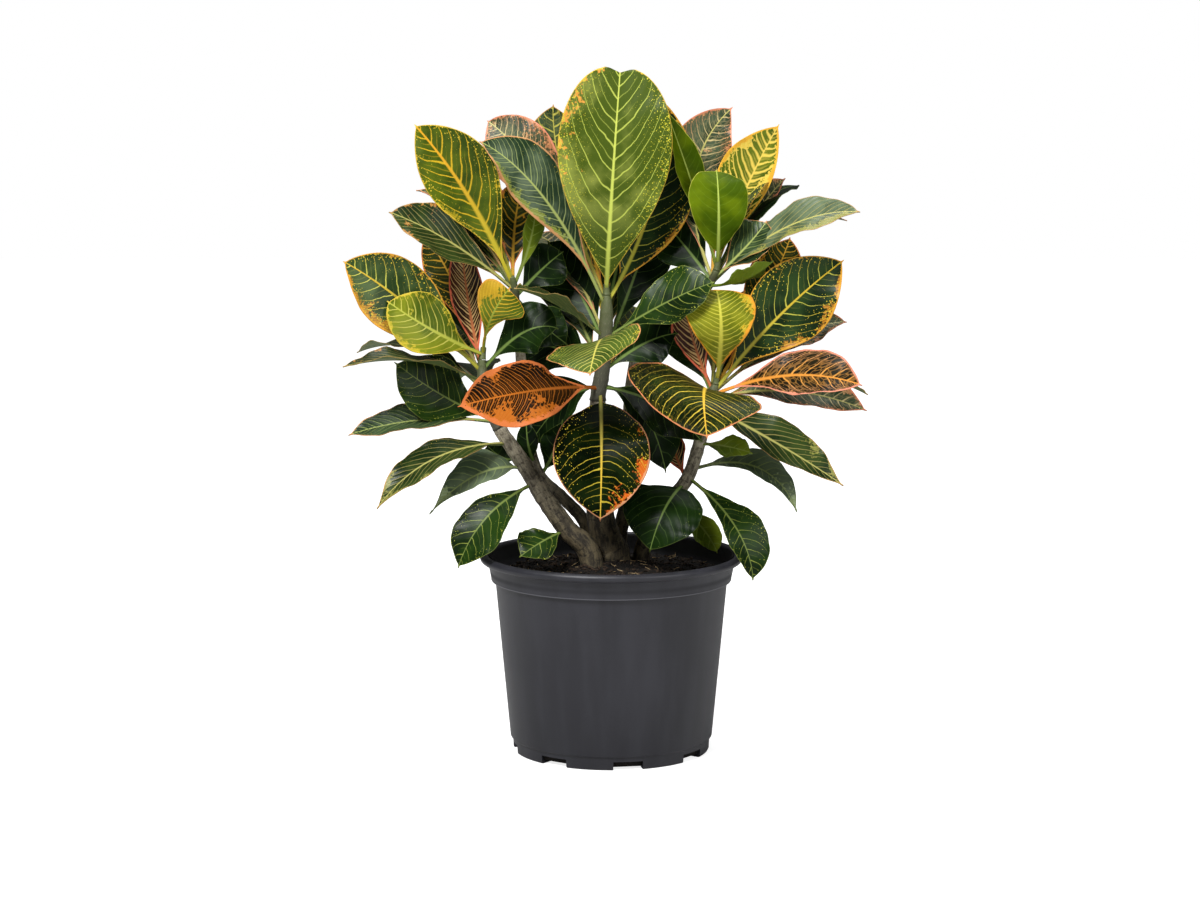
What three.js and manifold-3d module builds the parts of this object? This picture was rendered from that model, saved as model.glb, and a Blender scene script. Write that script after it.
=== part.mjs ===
// Potted croton: a variegated bush of five woody stems in a plain nursery pot, millimetres, +Z up.
// The origin is the middle of the pot's flat base. The front of the plant faces -Y.
import * as THREE from "three";
import { mergeVertices } from "three/addons/utils/BufferGeometryUtils.js";
import Module from "manifold-3d";

// ---- Driving dimensions -------------------------------------------------------------------------

// Pot: a moulded container with a rolled lip, a collar under it, a tapering wall and a stepped foot.
const POT = {
  height: 162,
  lipRadius: 106.7,
  lipInnerRadius: 98.4,
  lipDrop: 6.4,
  collarTopRadius: 100.4,
  collarBottomRadius: 97.6,
  collarInnerRadius: 94.1,
  collarBottomZ: 140.6,
  wallTopRadius: 94.2,
  wallFootRadius: 82.4,
  footRadius: 80,
  footZ: 10.5,
  wall: 1.8,
  floor: 2.6,
  segments: 40,
};

// The small steps and roundings of the pot's outline.
const POT_EDGE = {
  footRound: 1.2,
  footFlare: 0.4,
  collarStep: 0.8,
  lipFlat: 3,
  lipRound: 3.6,
  lipBulge: 3.4,
};

// Drainage slots: notches in the foot band, evenly spaced round the pot.
const SLOT = { count: 8, width: 24, height: 7, depth: 13, firstAngle: -80.4 };

// Soil: fills the pot, higher round the stems, with a lumpy top.
const SOIL = {
  edgeZ: 145,
  mound: 9,
  moundRadius: 52,
  lump: 1.3,
  rings: [78, 60, 42, 22],
};

// Free space kept between two pieces that touch.
const FIT = 0.3;

// The level of the stems' lower ends, inside the soil.
const STEM_FOOT_Z = 70;

const STEM_SIDES = 8;
const STEM_STEPS = 2; // rings from one point of a stem's line to the next

// Each stem: the points of its centre line with the radius there, from the soil up. The bark ends at
// point `bark`, where the green shoot starts. The shoot's young tip starts at point `young`.
const STEMS = {
  centre: {
    wood: "centre_trunk",
    bark: 4,
    young: 8,
    points: [
      [0.5, 9.5, 152, 15.2],
      [-4, 7, 171, 12.6],
      [-9, 4, 193, 11.2],
      [-11, 1, 241, 8.6],
      [-11, 0, 286, 6.4],
      [-8, 0, 306, 6.2],
      [-5, 0, 335, 5.8],
      [-4, 0, 358, 5.2],
      [-4, 0, 371, 3.2],
      [-4, 0, 380, 2.2],
    ],
  },
  left: {
    wood: "left_stem",
    bark: 5,
    young: 9,
    points: [
      [-16, -12, 156, 9.4],
      [-36, -12, 183, 8.2],
      [-53, -12, 207, 7.4],
      [-66, -10, 228, 6.6],
      [-80, -8, 249, 6],
      [-90, -6, 264, 5.5],
      [-99, -4, 285, 5.2],
      [-103, -2, 301, 4.8],
      [-104, 0, 312, 4],
      [-104, 0, 319, 3],
      [-103, 2, 329, 2.2],
    ],
  },
  upper_left: {
    wood: "upper_left_stem",
    bark: 7,
    young: 9,
    points: [
      [-16, 33, 153, 5.6],
      [-22, 28, 182, 5.2],
      [-40, 25, 203, 5],
      [-57, 22, 220, 4.8],
      [-66, 20, 243, 4.6],
      [-71, 18, 284, 4.4],
      [-75, 12, 342, 4],
      [-77, 8, 357, 3.8],
      [-78, 3, 375, 3.4],
      [-80, 0, 386, 2.4],
    ],
  },
  right: {
    wood: "right_stem",
    bark: 5,
    young: 7,
    points: [
      [24, 22, 150, 7],
      [36, 18, 185, 6.2],
      [49, 9, 204, 5.8],
      [62, 2, 223, 5.4],
      [70, 0, 247, 5.2],
      [76, 0, 270, 5],
      [81, 0, 290, 4.5],
      [84, 0, 299, 3],
      [85, 0, 309, 2.2],
    ],
  },
  upper_right: {
    wood: "upper_right_stem",
    bark: 8,
    young: 10,
    points: [
      [7, 46, 149, 6.6],
      [7, 43, 169, 6.2],
      [12, 38, 195, 5.8],
      [15, 36, 233, 5.2],
      [15, 34, 282, 4.8],
      [23, 30, 328, 4.4],
      [41, 24, 347, 4],
      [64, 14, 364, 3.8],
      [76, 8, 375, 3.6],
      [81, 2, 384, 3.2],
      [84, 0, 391, 2.8],
      [86, 0, 402, 2],
    ],
  },
};

// What a leaf is unless its row says otherwise.
const LEAF = {
  fold: 9, // degrees that each half rises from the rib
  peak: 0.6, // where along the blade it is widest
  base: 1, // how full the blade is towards its base: less is fuller
  blunt: 0.8, // how round the tip is: less is rounder
  left: 1, // share of the half width on each side of the rib
  right: 1,
  petiole: 0.12, // share of the length that is leaf stalk
  wave: 1.8, // rise and fall of the margin
  waves: 2.5, // waves along one margin
};
const STALK_HALF = 1.6;
const STALK_THICK = 2.8;
const RIB_THICK = 1.3;
const BLADE_THICK = 0.9;
const LEAF_STEPS = 7;
const SHORT_LEAF_STEPS = 4;
const STEP_LENGTH = 18; // a short leaf has fewer steps than LEAF_STEPS, of about this length
const TIP_CROWD = 1.3; // how much closer the steps are towards the tip
const STALK_FADE = 0.25; // share of the length over which the stalk's thickness fades out
const SIDE_PHASE = 1.3; // how far the right margin's waves run ahead of the left one's, in radians
const FULL_WAVE_HALF = 15; // a blade narrower than this to one side waves less

// The leaves of each shoot: root, a point at half length, tip, the way the upper face looks, greatest
// width, and what differs from LEAF. A root lies on the centre line of the stem that carries the leaf.
const SHOOT_LEAVES = {
  centre: [
    [[-4, 1, 364], [32, 10, 444], [41, 12, 525], [0.2, -1, 0.25], 64, { peak: 0.5 }],
    [[-5, -1, 363], [-52, -22, 448], [-102, -36, 494], [-0.45, -0.6, 0.7], 52, { fold: 14, left: 0.8 }],
    [[-4, 1, 365], [-37, 26, 454], [-47, 30, 521], [-0.1, -1, 0.15], 60, {}],
    [[-4, 1, 361], [-54, 8, 458], [-99, 26, 509], [-0.25, -0.85, 0.4], 54, { peak: 0.66 }],
    [[-5, 0, 337], [-41, -26, 365], [-75, -46, 380], [0, -0.12, 1], 46, { fold: 14 }],
    [[-9, 0, 296], [-57, -48, 300], [-118, -70, 290], [-0.1, -0.9, 0.45], 62, { right: 0.85, wave: 4 }],
    [[-5, 0, 335], [-11, -68, 338], [-17, -104, 319], [-0.35, -0.35, 0.87], 80, {}],
    [[-9, 0, 293], [-8, -46, 254], [-9, -52, 198], [0, -0.97, 0.1], 78, { peak: 0.52, base: 0.55 }],
    [[-5, 0, 336], [41, -14, 365], [80, -24, 383], [0.1, -0.75, 0.65], 50, {}],
    [[-5, 0, 330], [-27, 30, 373], [-51, 40, 411], [-0.3, -0.9, 0.3], 60, {}],
    [[-5, 0, 326], [20, 36, 387], [30, 50, 422], [0.3, -0.9, 0.3], 50, {}],
    [[-9, 0, 297], [35, -18, 286], [71, -30, 258], [0.2, -0.75, 0.65], 54, {}],
    [[-9, 0, 298], [-38, 30, 282], [-66, 48, 246], [-0.2, -0.8, 0.5], 56, {}],
    [[-9, 0, 298], [24, 12, 278], [44, 14, 228], [0.2, -0.8, 0.5], 50, {}],
    [[-8, 0, 306], [-42, 34, 324], [-78, 54, 328], [-0.2, -0.85, 0.4], 58, {}],
    [[-8, 0, 308], [24, 8, 330], [52, 4, 340], [0.2, -0.85, 0.4], 44, {}],
  ],
  upper_left: [
    [[-79, 1, 379], [-112, -16, 448], [-154, -22, 506], [-0.3, -0.9, 0.35], 68, { fold: 12, left: 0.75 }],
    [[-79, 2, 378], [-78, 14, 424], [-71, 24, 462], [0.2, -0.95, 0.2], 40, {}],
    [[-78, 2, 379], [-65, 3, 415], [-61, 10, 443], [0.5, -0.8, 0.2], 18, {}],
    [[-78, 2, 375], [-126, -24, 414], [-173, -40, 439], [-0.1, -0.72, 0.7], 48, { fold: 14 }],
    [[-79, 2, 378], [-96, 18, 401], [-110, 24, 416], [-0.3, -0.8, 0.5], 32, {}],
    [[-78, 3, 370], [-59, 14, 349], [-37, 14, 331], [0.3, -0.85, 0.4], 38, {}],
    [[-78, 5, 368], [-58, 14, 389], [-40, 20, 404], [0.2, -0.9, 0.3], 40, {}],
  ],
  upper_right: [
    [[81, 2, 384], [67, 27, 461], [96, 30, 519], [0.1, -0.95, 0.3], 52, { fold: 12 }],
    [[82, 2, 386], [105, 22, 447], [133, 14, 505], [0.05, -0.95, 0.3], 56, { fold: 12, right: 0.6 }],
    [[82, 2, 384], [113, 32, 429], [140, 40, 462], [-0.5, -0.8, 0.3], 42, { right: 0.35 }],
    [[81, 2, 383], [107, -8, 410], [123, -8, 430], [-0.3, -0.75, 0.6], 44, {}],
    [[80, 4, 380], [137, -22, 426], [193, -40, 440], [-0.2, -0.62, 0.75], 38, { fold: 14, base: 0.55 }],
    [[79, 4, 379], [104, -8, 384], [127, -10, 398], [-0.3, 0.4, 0.85], 36, {}],
    [[81, 3, 382], [62, 16, 406], [42, 26, 430], [-0.3, -0.9, 0.3], 46, {}],
  ],
  left: [
    [[-104, 0, 309], [-161, -24, 364], [-210, -38, 400], [-0.35, -0.8, 0.5], 60, { peak: 0.55, fold: 12 }],
    [[-104, 0, 309], [-116, 8, 370], [-121, 6, 424], [-0.2, -0.95, 0.2], 28, { peak: 0.5, blunt: 1.2 }],
    [[-103, -2, 301], [-153, -36, 322], [-209, -56, 320], [0, -0.1, 1], 40, { fold: 14 }],
    [[-94, -4, 271], [-133, -12, 290], [-171, -24, 318], [-0.1, -0.85, 0.5], 56, {}],
    [[-93, -4, 269], [-151, -22, 273], [-208, -26, 262], [0, -0.5, 0.87], 36, { fold: 14 }],
    [[-104, 0, 312], [-126, 18, 375], [-151, 22, 418], [-0.3, -0.9, 0.3], 36, {}],
    [[-104, 0, 310], [-72, -8, 341], [-44, -14, 346], [0.3, -0.8, 0.5], 46, {}],
  ],
  right: [
    [[82, 0, 292], [130, -10, 351], [183, -16, 399], [0.2, -0.92, 0.35], 65, {}],
    [[81, 0, 290], [140, -26, 309], [196, -44, 304], [0, -0.72, 0.7], 46, { left: 1.1 }],
    [[80, 0, 287], [142, -2, 294], [203, -10, 280], [0, -0.72, 0.7], 44, { right: 0.7 }],
    [[82, 0, 293], [67, 4, 331], [58, 2, 367], [-0.4, -0.9, 0.2], 30, {}],
    [[81, 0, 291], [66, 22, 325], [51, 30, 355], [-0.4, -0.9, 0.2], 40, {}],
    [[82, 0, 292], [141, 26, 332], [190, 30, 347], [0, -0.5, 0.8], 40, {}],
    [[82, 0, 293], [123, 18, 366], [144, 20, 415], [0.1, -0.95, 0.25], 44, {}],
    [[81, 0, 290], [72, -72, 301], [73, -108, 271], [0.25, -0.45, 0.85], 108, { left: 0.85, right: 1.2 }],
    [[79, 0, 281], [136, -22, 252], [184, -30, 222], [0.1, -0.75, 0.65], 36, { peak: 0.45, base: 0.6, blunt: 1.1, left: 1.2, right: 0.8 }],
  ],
};

// The leaves of each shoot's young tip, in the same form.
const YOUNG_LEAVES = {
  centre: [
    [
      [-4, 0, 375], [0, -24, 452], [7, -10, 553], [0.05, -1, 0.1], 91,
      { peak: 0.68, base: 0.6, blunt: 0.4, fold: 6, petiole: 0.05 },
    ],
  ],
  left: [
    [[-103, 1, 323], [-140, -26, 344], [-176, -34, 368], [-0.3, -0.8, 0.5], 50, { blunt: 0.6 }],
    [[-103, 1, 324], [-97, -18, 352], [-82, -16, 377], [0.45, -0.8, 0.3], 44, { peak: 0.8, base: 0.7, blunt: 0.35 }],
  ],
  right: [
    [[85, 0, 303], [87, -28, 347], [84, -6, 376], [0.1, -0.95, 0.25], 57, { peak: 0.66, base: 0.5, blunt: 0.35, fold: 3 }],
  ],
  upper_right: [
    [[85, 0, 396], [85, -18, 439], [84, 4, 470], [0.1, -0.95, 0.35], 48, { base: 0.45, blunt: 0.4, fold: 2 }],
    [[84, 0, 394], [66, 6, 455], [44, 2, 517], [0.6, -0.8, 0.1], 30, { peak: 0.5, fold: 20 }],
  ],
};

// Single leaves that grow from the bark, each a piece of its own.
const BARK_LEAVES = {
  left: [
    [[-83, -8, 252], [-140, -44, 245], [-184, -62, 209], [-0.1, -0.5, 0.85], 36, { peak: 0.5, base: 0.7, blunt: 1, fold: 12 }],
    [[-70, -10, 232], [-107, -22, 229], [-144, -28, 200], [-0.1, -0.7, 0.7], 42, { peak: 0.4, blunt: 1.4, left: 0.6 }],
    [[-75, -9, 242], [-87, 20, 236], [-102, 46, 243], [0.2, -0.9, 0.4], 28, {}],
    [[-62, -11, 220], [-99, -34, 197], [-122, -40, 158], [-0.35, -0.85, 0.4], 44, { base: 0.65, left: 1.15, right: 0.85 }],
    [[-37, -12, 182], [-55, -30, 176], [-72, -40, 166], [-0.35, -0.8, 0.5], 36, {}],
  ],
  upper_left: [
    [[-58, 22, 221], [-47, 18, 242], [-40, 14, 266], [0.2, -0.9, 0.4], 28, {}],
    [[-62, 21, 232], [-67, 7, 247], [-69, 8, 268], [0, -1, 0.1], 18, {}],
  ],
  right: [
    [[59, 4, 217], [43, -26, 202], [31, -34, 170], [-0.2, -0.85, 0.5], 68, { peak: 0.5, base: 0.6 }],
    [[62, 2, 223], [98, -34, 190], [113, -42, 148], [0.4, -0.85, 0.35], 36, { base: 0.7, left: 1.25, right: 0.75 }],
    [[64, 2, 229], [116, -6, 233], [149, -10, 199], [0.1, -0.6, 0.8], 36, { peak: 0.5, blunt: 1, right: 0.55 }],
    [[71, 0, 251], [91, -16, 251], [111, -24, 247], [0, -0.6, 0.8], 26, {}],
    [[49, 8, 204], [72, -8, 185], [85, -14, 165], [0.3, -0.9, 0.4], 24, {}],
    [[61, 4, 222], [53, 20, 238], [48, 34, 258], [-0.2, -0.9, 0.3], 20, {}],
  ],
};

// Leaves of the side away from the front, by rule: how many, and the ranges of heading (degrees from
// +X towards +Y), of rise, and of length. `seed` starts the random draw of the shoot.
const REAR_LEAVES = {
  centre: { count: 8, heading: [60, 128], rise: [20, 62], length: [165, 125], seed: 39595 },
  left: { count: 5, heading: [95, 165], rise: [5, 50], length: [140, 105], seed: 71271 },
  upper_left: { count: 5, heading: [104, 165], rise: [25, 60], length: [140, 105], seed: 95028 },
  right: { count: 5, heading: [15, 85], rise: [5, 50], length: [140, 105], seed: 166299 },
  upper_right: { count: 5, heading: [15, 85], rise: [25, 60], length: [140, 105], seed: 245489 },
};

// What all of the rear leaves share. Arch and droop are shares of the length.
const REAR_FORM = {
  turn: 0.618, // the step from one leaf's heading to the next, as a share of the heading's range
  firstTurn: 0.1,
  headingSpread: 8,
  lengthSpread: 10,
  lengthDrop: 0.6, // how far the uppermost leaf has gone from the first length to the second
  leastWidth: 44,
  widthSpread: 14,
  arch: 0.08,
  droop: 0.12,
  lean: 0.7, // how far a steep leaf's face leans back towards the stem
  faceUp: 0.95,
};

const COLOURS = {
  pot: 0x2f2f33,
  soil: 0x2a211b,
  bark: 0x6b6258,
  mature: 0x3c5a24,
  young: 0x8ea63a,
};

// ---- Solids -------------------------------------------------------------------------------------

const wasm = await Module();
wasm.setup();

const vector = ([x, y, z]) => new THREE.Vector3(x, y, z);
const radians = THREE.MathUtils.degToRad;

// A three.js geometry as a solid that can be cut and joined.
function solidOf(geometry) {
  const bare = geometry.clone();
  bare.deleteAttribute("normal");
  bare.deleteAttribute("uv");
  const merged = mergeVertices(bare, 1e-4);
  return new wasm.Manifold(
    new wasm.Mesh({
      numProp: 3,
      vertProperties: new Float32Array(merged.attributes.position.array),
      triVerts: new Uint32Array(merged.index.array),
    }),
  );
}

// A solid's largest body as a named, coloured mesh.
function meshOf(name, solid, colour, roughness) {
  const bodies = solid.decompose();
  const body = bodies.reduce((a, b) => (b.volume() > a.volume() ? b : a));
  const made = body.getMesh();
  const geometry = new THREE.BufferGeometry();
  geometry.setAttribute("position", new THREE.BufferAttribute(made.vertProperties, 3));
  geometry.setIndex(new THREE.BufferAttribute(made.triVerts, 1));
  geometry.computeVertexNormals();
  const material = new THREE.MeshStandardMaterial({ color: colour, roughness, metalness: 0 });
  const mesh = new THREE.Mesh(geometry, material);
  mesh.name = name;
  return mesh;
}

// A closed skin through rings of equally many points, each ring turning the same way, with flat ends.
// The second half of each ring is split into triangles as a mirror of the first, so that the two faces
// of a thin blade stay parallel.
function loftOf(rings) {
  const sides = rings[0].length;
  const positions = rings.flat().flatMap((p) => [p.x, p.y, p.z]);
  const index = [];
  for (let i = 0; i + 1 < rings.length; i++) {
    for (let j = 0; j < sides; j++) {
      const a = i * sides + j;
      const b = i * sides + ((j + 1) % sides);
      if (j < sides / 2) {
        index.push(a, b, b + sides, a, b + sides, a + sides);
      } else {
        index.push(a, b, a + sides, b, b + sides, a + sides);
      }
    }
  }
  const last = (rings.length - 1) * sides;
  for (let j = 1; j + 1 < sides; j++) {
    index.push(0, j + 1, j, last, last + j, last + j + 1);
  }
  const geometry = new THREE.BufferGeometry();
  geometry.setAttribute("position", new THREE.Float32BufferAttribute(positions, 3));
  geometry.setIndex(index);
  return solidOf(geometry);
}

// ---- Stems --------------------------------------------------------------------------------------

// Points along a smooth line through `points`, with the radius as fourth value.
function smoothLine(points, steps) {
  const line = [];
  for (let i = 0; i + 1 < points.length; i++) {
    const around = [i - 1, i, i + 1, i + 2].map(
      (k) => points[Math.min(Math.max(k, 0), points.length - 1)],
    );
    for (let j = 0; j < steps; j++) {
      const t = j / steps;
      line.push(
        around[1].map((_, axis) => {
          const [a, b, c, d] = around.map((p) => p[axis]);
          const slope = (c - a) * t;
          const bend = (2 * a - 5 * b + 4 * c - d) * t ** 2;
          const twist = (3 * b - a - 3 * c + d) * t ** 3;
          return (2 * b + slope + bend + twist) / 2;
        }),
      );
    }
  }
  line.push(points[points.length - 1]);
  return line;
}

// The direction of a line at point i.
function headingAt(line, i) {
  const before = vector(line[Math.max(i - 1, 0)]);
  const after = vector(line[Math.min(i + 1, line.length - 1)]);
  return after.sub(before).normalize();
}

// A round, tapering rod along line points from..to, `grow` thicker all round. `lift` moves its lower
// end up along the line, for the gap to the piece below.
function rodOf(line, from, to, grow = 0, lift = 0) {
  const rings = [];
  for (let i = from; i <= to; i++) {
    const along = headingAt(line, i);
    const across = new THREE.Vector3().crossVectors(along, new THREE.Vector3(0, 1, 0.02)).normalize();
    const third = new THREE.Vector3().crossVectors(along, across);
    const centre = vector(line[i]).addScaledVector(along, i === from ? lift : 0);
    const ring = [];
    for (let j = 0; j < STEM_SIDES; j++) {
      const turn = (2 * Math.PI * j) / STEM_SIDES;
      const radius = line[i][3] + grow;
      ring.push(
        centre
          .clone()
          .addScaledVector(across, radius * Math.cos(turn))
          .addScaledVector(third, radius * Math.sin(turn)),
      );
    }
    rings.push(ring);
  }
  return loftOf(rings);
}

// A stem's whole centre line, with the place of its parts on it.
function stemLine(stem) {
  const [x, y, , radius] = stem.points[0];
  const line = smoothLine([[x, y, STEM_FOOT_Z, radius], ...stem.points], STEM_STEPS);
  const placeOf = (point) => (point + 1) * STEM_STEPS;
  return { line, bark: placeOf(stem.bark), young: placeOf(stem.young), end: line.length - 1 };
}

// ---- Leaves -------------------------------------------------------------------------------------

// The rib is a parabola from root to tip through the mid point.
function ribOf(root, mid, tip) {
  const bend = mid.clone().multiplyScalar(2).sub(root.clone().add(tip).multiplyScalar(0.5));
  return new THREE.QuadraticBezierCurve3(root, bend, tip);
}

// Half the blade's width at `s` (0 at its base, 1 at its tip) as a share of the greatest half width.
function outlineAt(s, { peak, base, blunt }) {
  const rise = Math.sin(Math.PI * s ** (Math.log(0.5) / Math.log(peak)));
  return Math.max(rise, 0) ** (s < peak ? base : blunt);
}

// One leaf: a stalk that widens into a folded blade with a waved margin, thicker along the rib. `phase`
// shifts the waves.
function leafOf([rootAt, midAt, tipAt, faceAt, width, changes], phase) {
  const form = { ...LEAF, ...changes };
  const rib = ribOf(vector(rootAt), vector(midAt), vector(tipAt));
  const look = vector(faceAt);
  const wanted = Math.round(rib.getLength() / STEP_LENGTH);
  const steps = THREE.MathUtils.clamp(wanted, SHORT_LEAF_STEPS, LEAF_STEPS);
  const rings = [];
  for (let i = 0; i <= steps; i++) {
    const t = 1 - (1 - i / steps) ** TIP_CROWD;
    const s = (t - form.petiole) / (1 - form.petiole);
    const along = rib.getTangent(t);
    const up = look.clone().addScaledVector(along, -look.dot(along)).normalize();
    const side = new THREE.Vector3().crossVectors(along, up);
    const share = s > 0 ? outlineAt(s, form) : 0;
    const centre = rib.getPoint(t);
    const edgeOf = (sign, sideShare) => {
      const half = Math.max(STALK_HALF, (width / 2) * sideShare * share);
      const turn = 2 * Math.PI * form.waves * t + phase + (sign > 0 ? SIDE_PHASE : 0);
      const lift = form.wave * Math.sin(turn) * Math.min(1, half / FULL_WAVE_HALF);
      return centre
        .clone()
        .addScaledVector(side, sign * half * Math.cos(radians(form.fold)))
        .addScaledVector(up, half * Math.sin(radians(form.fold)) + lift);
    };
    const left = edgeOf(-1, form.left);
    const right = edgeOf(1, form.right);
    const stalk = Math.max(0, 1 - t / STALK_FADE);
    const ribThick = THREE.MathUtils.lerp(RIB_THICK, STALK_THICK, stalk);
    const edgeThick = THREE.MathUtils.lerp(BLADE_THICK, STALK_THICK, stalk);
    rings.push([
      left,
      centre,
      right,
      right.clone().addScaledVector(up, -edgeThick),
      centre.clone().addScaledVector(up, -ribThick),
      left.clone().addScaledVector(up, -edgeThick),
    ]);
  }
  return loftOf(rings);
}

// Random values from 0 to 1 that are the same on every run.
function randomFrom(seed) {
  let state = seed;
  const next = () => {
    state = (state * 16807) % 2147483647;
    return state / 2147483647;
  };
  next();
  next();
  next();
  return next;
}

// The rows of a shoot's rear leaves, spread round it by the golden section and upwards along it.
function rearRows(rule, line, from, to) {
  const random = randomFrom(rule.seed);
  const rows = [];
  for (let i = 0; i < rule.count; i++) {
    const height = (i + 0.5) / rule.count;
    const spread = (i * REAR_FORM.turn + REAR_FORM.firstTurn) % 1;
    const heading = radians(
      THREE.MathUtils.lerp(...rule.heading, spread) + REAR_FORM.headingSpread * (random() - 0.5),
    );
    const rise = radians(THREE.MathUtils.lerp(...rule.rise, height));
    const length =
      THREE.MathUtils.lerp(...rule.length, REAR_FORM.lengthDrop * height) +
      REAR_FORM.lengthSpread * (random() - 0.5);
    const width = Math.round(REAR_FORM.leastWidth + REAR_FORM.widthSpread * random());
    const root = vector(line[Math.round(THREE.MathUtils.lerp(from, to, height))]);
    const out = new THREE.Vector3(
      Math.cos(heading) * Math.cos(rise),
      Math.sin(heading) * Math.cos(rise),
      Math.sin(rise),
    );
    const mid = root.clone().addScaledVector(out, length / 2);
    mid.z += REAR_FORM.arch * length;
    const tip = root.clone().addScaledVector(out, length);
    tip.z -= REAR_FORM.droop * length;
    const lean = -REAR_FORM.lean * Math.sin(rise);
    const look = [lean * Math.cos(heading), lean * Math.sin(heading), REAR_FORM.faceUp];
    rows.push([root.toArray(), mid.toArray(), tip.toArray(), look, width, {}]);
  }
  return rows;
}

// ---- Pot and soil -------------------------------------------------------------------------------

// A ring of revolution about the Z axis from [radius, height] points.
function turnedOf(profile, segments) {
  const lathe = new THREE.LatheGeometry(
    profile.map(([r, z]) => new THREE.Vector2(r, z)),
    segments,
  );
  return lathe.rotateX(Math.PI / 2);
}

// The inner wall of the pot, from its floor up.
const POT_INSIDE = [
  [POT.footRadius - POT.wall - 1, POT.floor],
  [POT.footRadius - POT.wall, POT.footZ],
  [POT.wallFootRadius - POT.wall, POT.footZ + 1.5],
  [POT.wallTopRadius - POT.wall, POT.collarBottomZ - 2],
  [POT.collarInnerRadius, POT.collarBottomZ + 1],
];

function makePot() {
  const lipBottomZ = POT.height - POT.lipDrop;
  const outside = [
    [0, 0],
    [POT.footRadius - POT_EDGE.footRound, 0],
    [POT.footRadius, POT_EDGE.footRound],
    [POT.footRadius + POT_EDGE.footFlare, POT.footZ],
    [POT.wallFootRadius, POT.footZ + POT_EDGE.footRound],
    [POT.wallTopRadius, POT.collarBottomZ - POT_EDGE.collarStep],
    [POT.collarBottomRadius, POT.collarBottomZ],
    [POT.collarTopRadius, lipBottomZ - 0.6],
    [POT.lipRadius - POT_EDGE.lipFlat, lipBottomZ],
    [POT.lipRadius - 0.6, lipBottomZ + 1.6],
    [POT.lipRadius, lipBottomZ + POT_EDGE.lipBulge],
    [POT.lipRadius - 1.2, POT.height - 0.9],
    [POT.lipRadius - POT_EDGE.lipRound, POT.height],
    [POT.lipInnerRadius + 1.6, POT.height - 0.4],
    [POT.lipInnerRadius, POT.height - 2.4],
  ];
  const shell = solidOf(
    turnedOf([...outside, ...POT_INSIDE.toReversed(), [0, POT.floor]], POT.segments),
  );
  const cuts = [];
  for (let i = 0; i < SLOT.count; i++) {
    const slot = new THREE.BoxGeometry(2 * SLOT.depth, SLOT.width, 2 * SLOT.height);
    slot.translate(POT.footRadius, 0, 0);
    slot.rotateZ(radians(SLOT.firstAngle + (360 / SLOT.count) * i));
    cuts.push(solidOf(slot));
  }
  return shell.subtract(wasm.Manifold.union(cuts));
}

// The soil's top level at a point.
function soilLevel(x, y) {
  const away = Math.hypot(x, y) / SOIL.moundRadius;
  const lumps = Math.sin(x / 7 + 1.1) * Math.cos(y / 9) + 0.7 * Math.sin(x / 13 - y / 6);
  return SOIL.edgeZ + SOIL.mound * Math.exp(-(away ** 2)) + SOIL.lump * lumps;
}

function makeSoil(stemHoles) {
  const wall = POT_INSIDE.map(([r, z], i) => [r - FIT, i === 0 ? z + FIT : z]);
  const topRadius = wall[wall.length - 1][0] + 0.6;
  const top = [topRadius, ...SOIL.rings].map((r) => [r, SOIL.edgeZ]);
  const profile = [[0, POT.floor + FIT], ...wall, ...top, [0, SOIL.edgeZ]];
  const body = turnedOf(profile, POT.segments);
  const position = body.attributes.position;
  for (let i = 0; i < position.count; i++) {
    if (position.getZ(i) > SOIL.edgeZ - 0.5) {
      position.setZ(i, soilLevel(position.getX(i), position.getY(i)));
    }
  }
  return solidOf(body).subtract(wasm.Manifold.union(stemHoles));
}

// ---- The plant ----------------------------------------------------------------------------------

const croton = new THREE.Group();
const stemHoles = [];

for (const [shoot, stem] of Object.entries(STEMS)) {
  const { line, bark, young, end } = stemLine(stem);
  const thick = rodOf(line, 0, bark, FIT);
  stemHoles.push(thick);
  croton.add(meshOf(stem.wood, rodOf(line, 0, bark), COLOURS.bark, 0.85));

  const youngRows = YOUNG_LEAVES[shoot] ?? [];
  const matureEnd = youngRows.length ? young : end;
  const matureRows = [...SHOOT_LEAVES[shoot], ...rearRows(REAR_LEAVES[shoot], line, bark + 1, young - 1)];
  const lower = rodOf(line, bark, matureEnd, 0, FIT);
  let mature = wasm.Manifold.union([lower, ...matureRows.map(leafOf)]);
  if (youngRows.length) {
    mature = mature.subtract(rodOf(line, young, end, FIT));
    const upper = rodOf(line, young, end, 0, FIT);
    const fresh = wasm.Manifold.union([upper, ...youngRows.map(leafOf)]);
    croton.add(meshOf(shoot + "_young_leaves", fresh, COLOURS.young, 0.4));
  }
  croton.add(meshOf(shoot + "_leaves", mature, COLOURS.mature, 0.4));

  (BARK_LEAVES[shoot] ?? []).forEach((row, i) => {
    const single = leafOf(row, i).subtract(thick);
    croton.add(meshOf(`${shoot}_low_leaf_${i + 1}`, single, COLOURS.mature, 0.4));
  });
}

croton.add(meshOf("pot", makePot(), COLOURS.pot, 0.55));
croton.add(meshOf("soil", makeSoil(stemHoles), COLOURS.soil, 1));

export default croton;
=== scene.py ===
"""Potted croton: a variegated bush of five woody stems in a plain nursery pot.

Each solid of the model is replaced by a finer piece of the same form. The shapes are worked out in
millimetres, in the model's own frame, and turned into metres when a mesh is made.
"""

import logging
import math
import random
from dataclasses import dataclass, field, replace
from enum import Enum
from functools import reduce

import bmesh
import bpy
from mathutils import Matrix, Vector, noise


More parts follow.
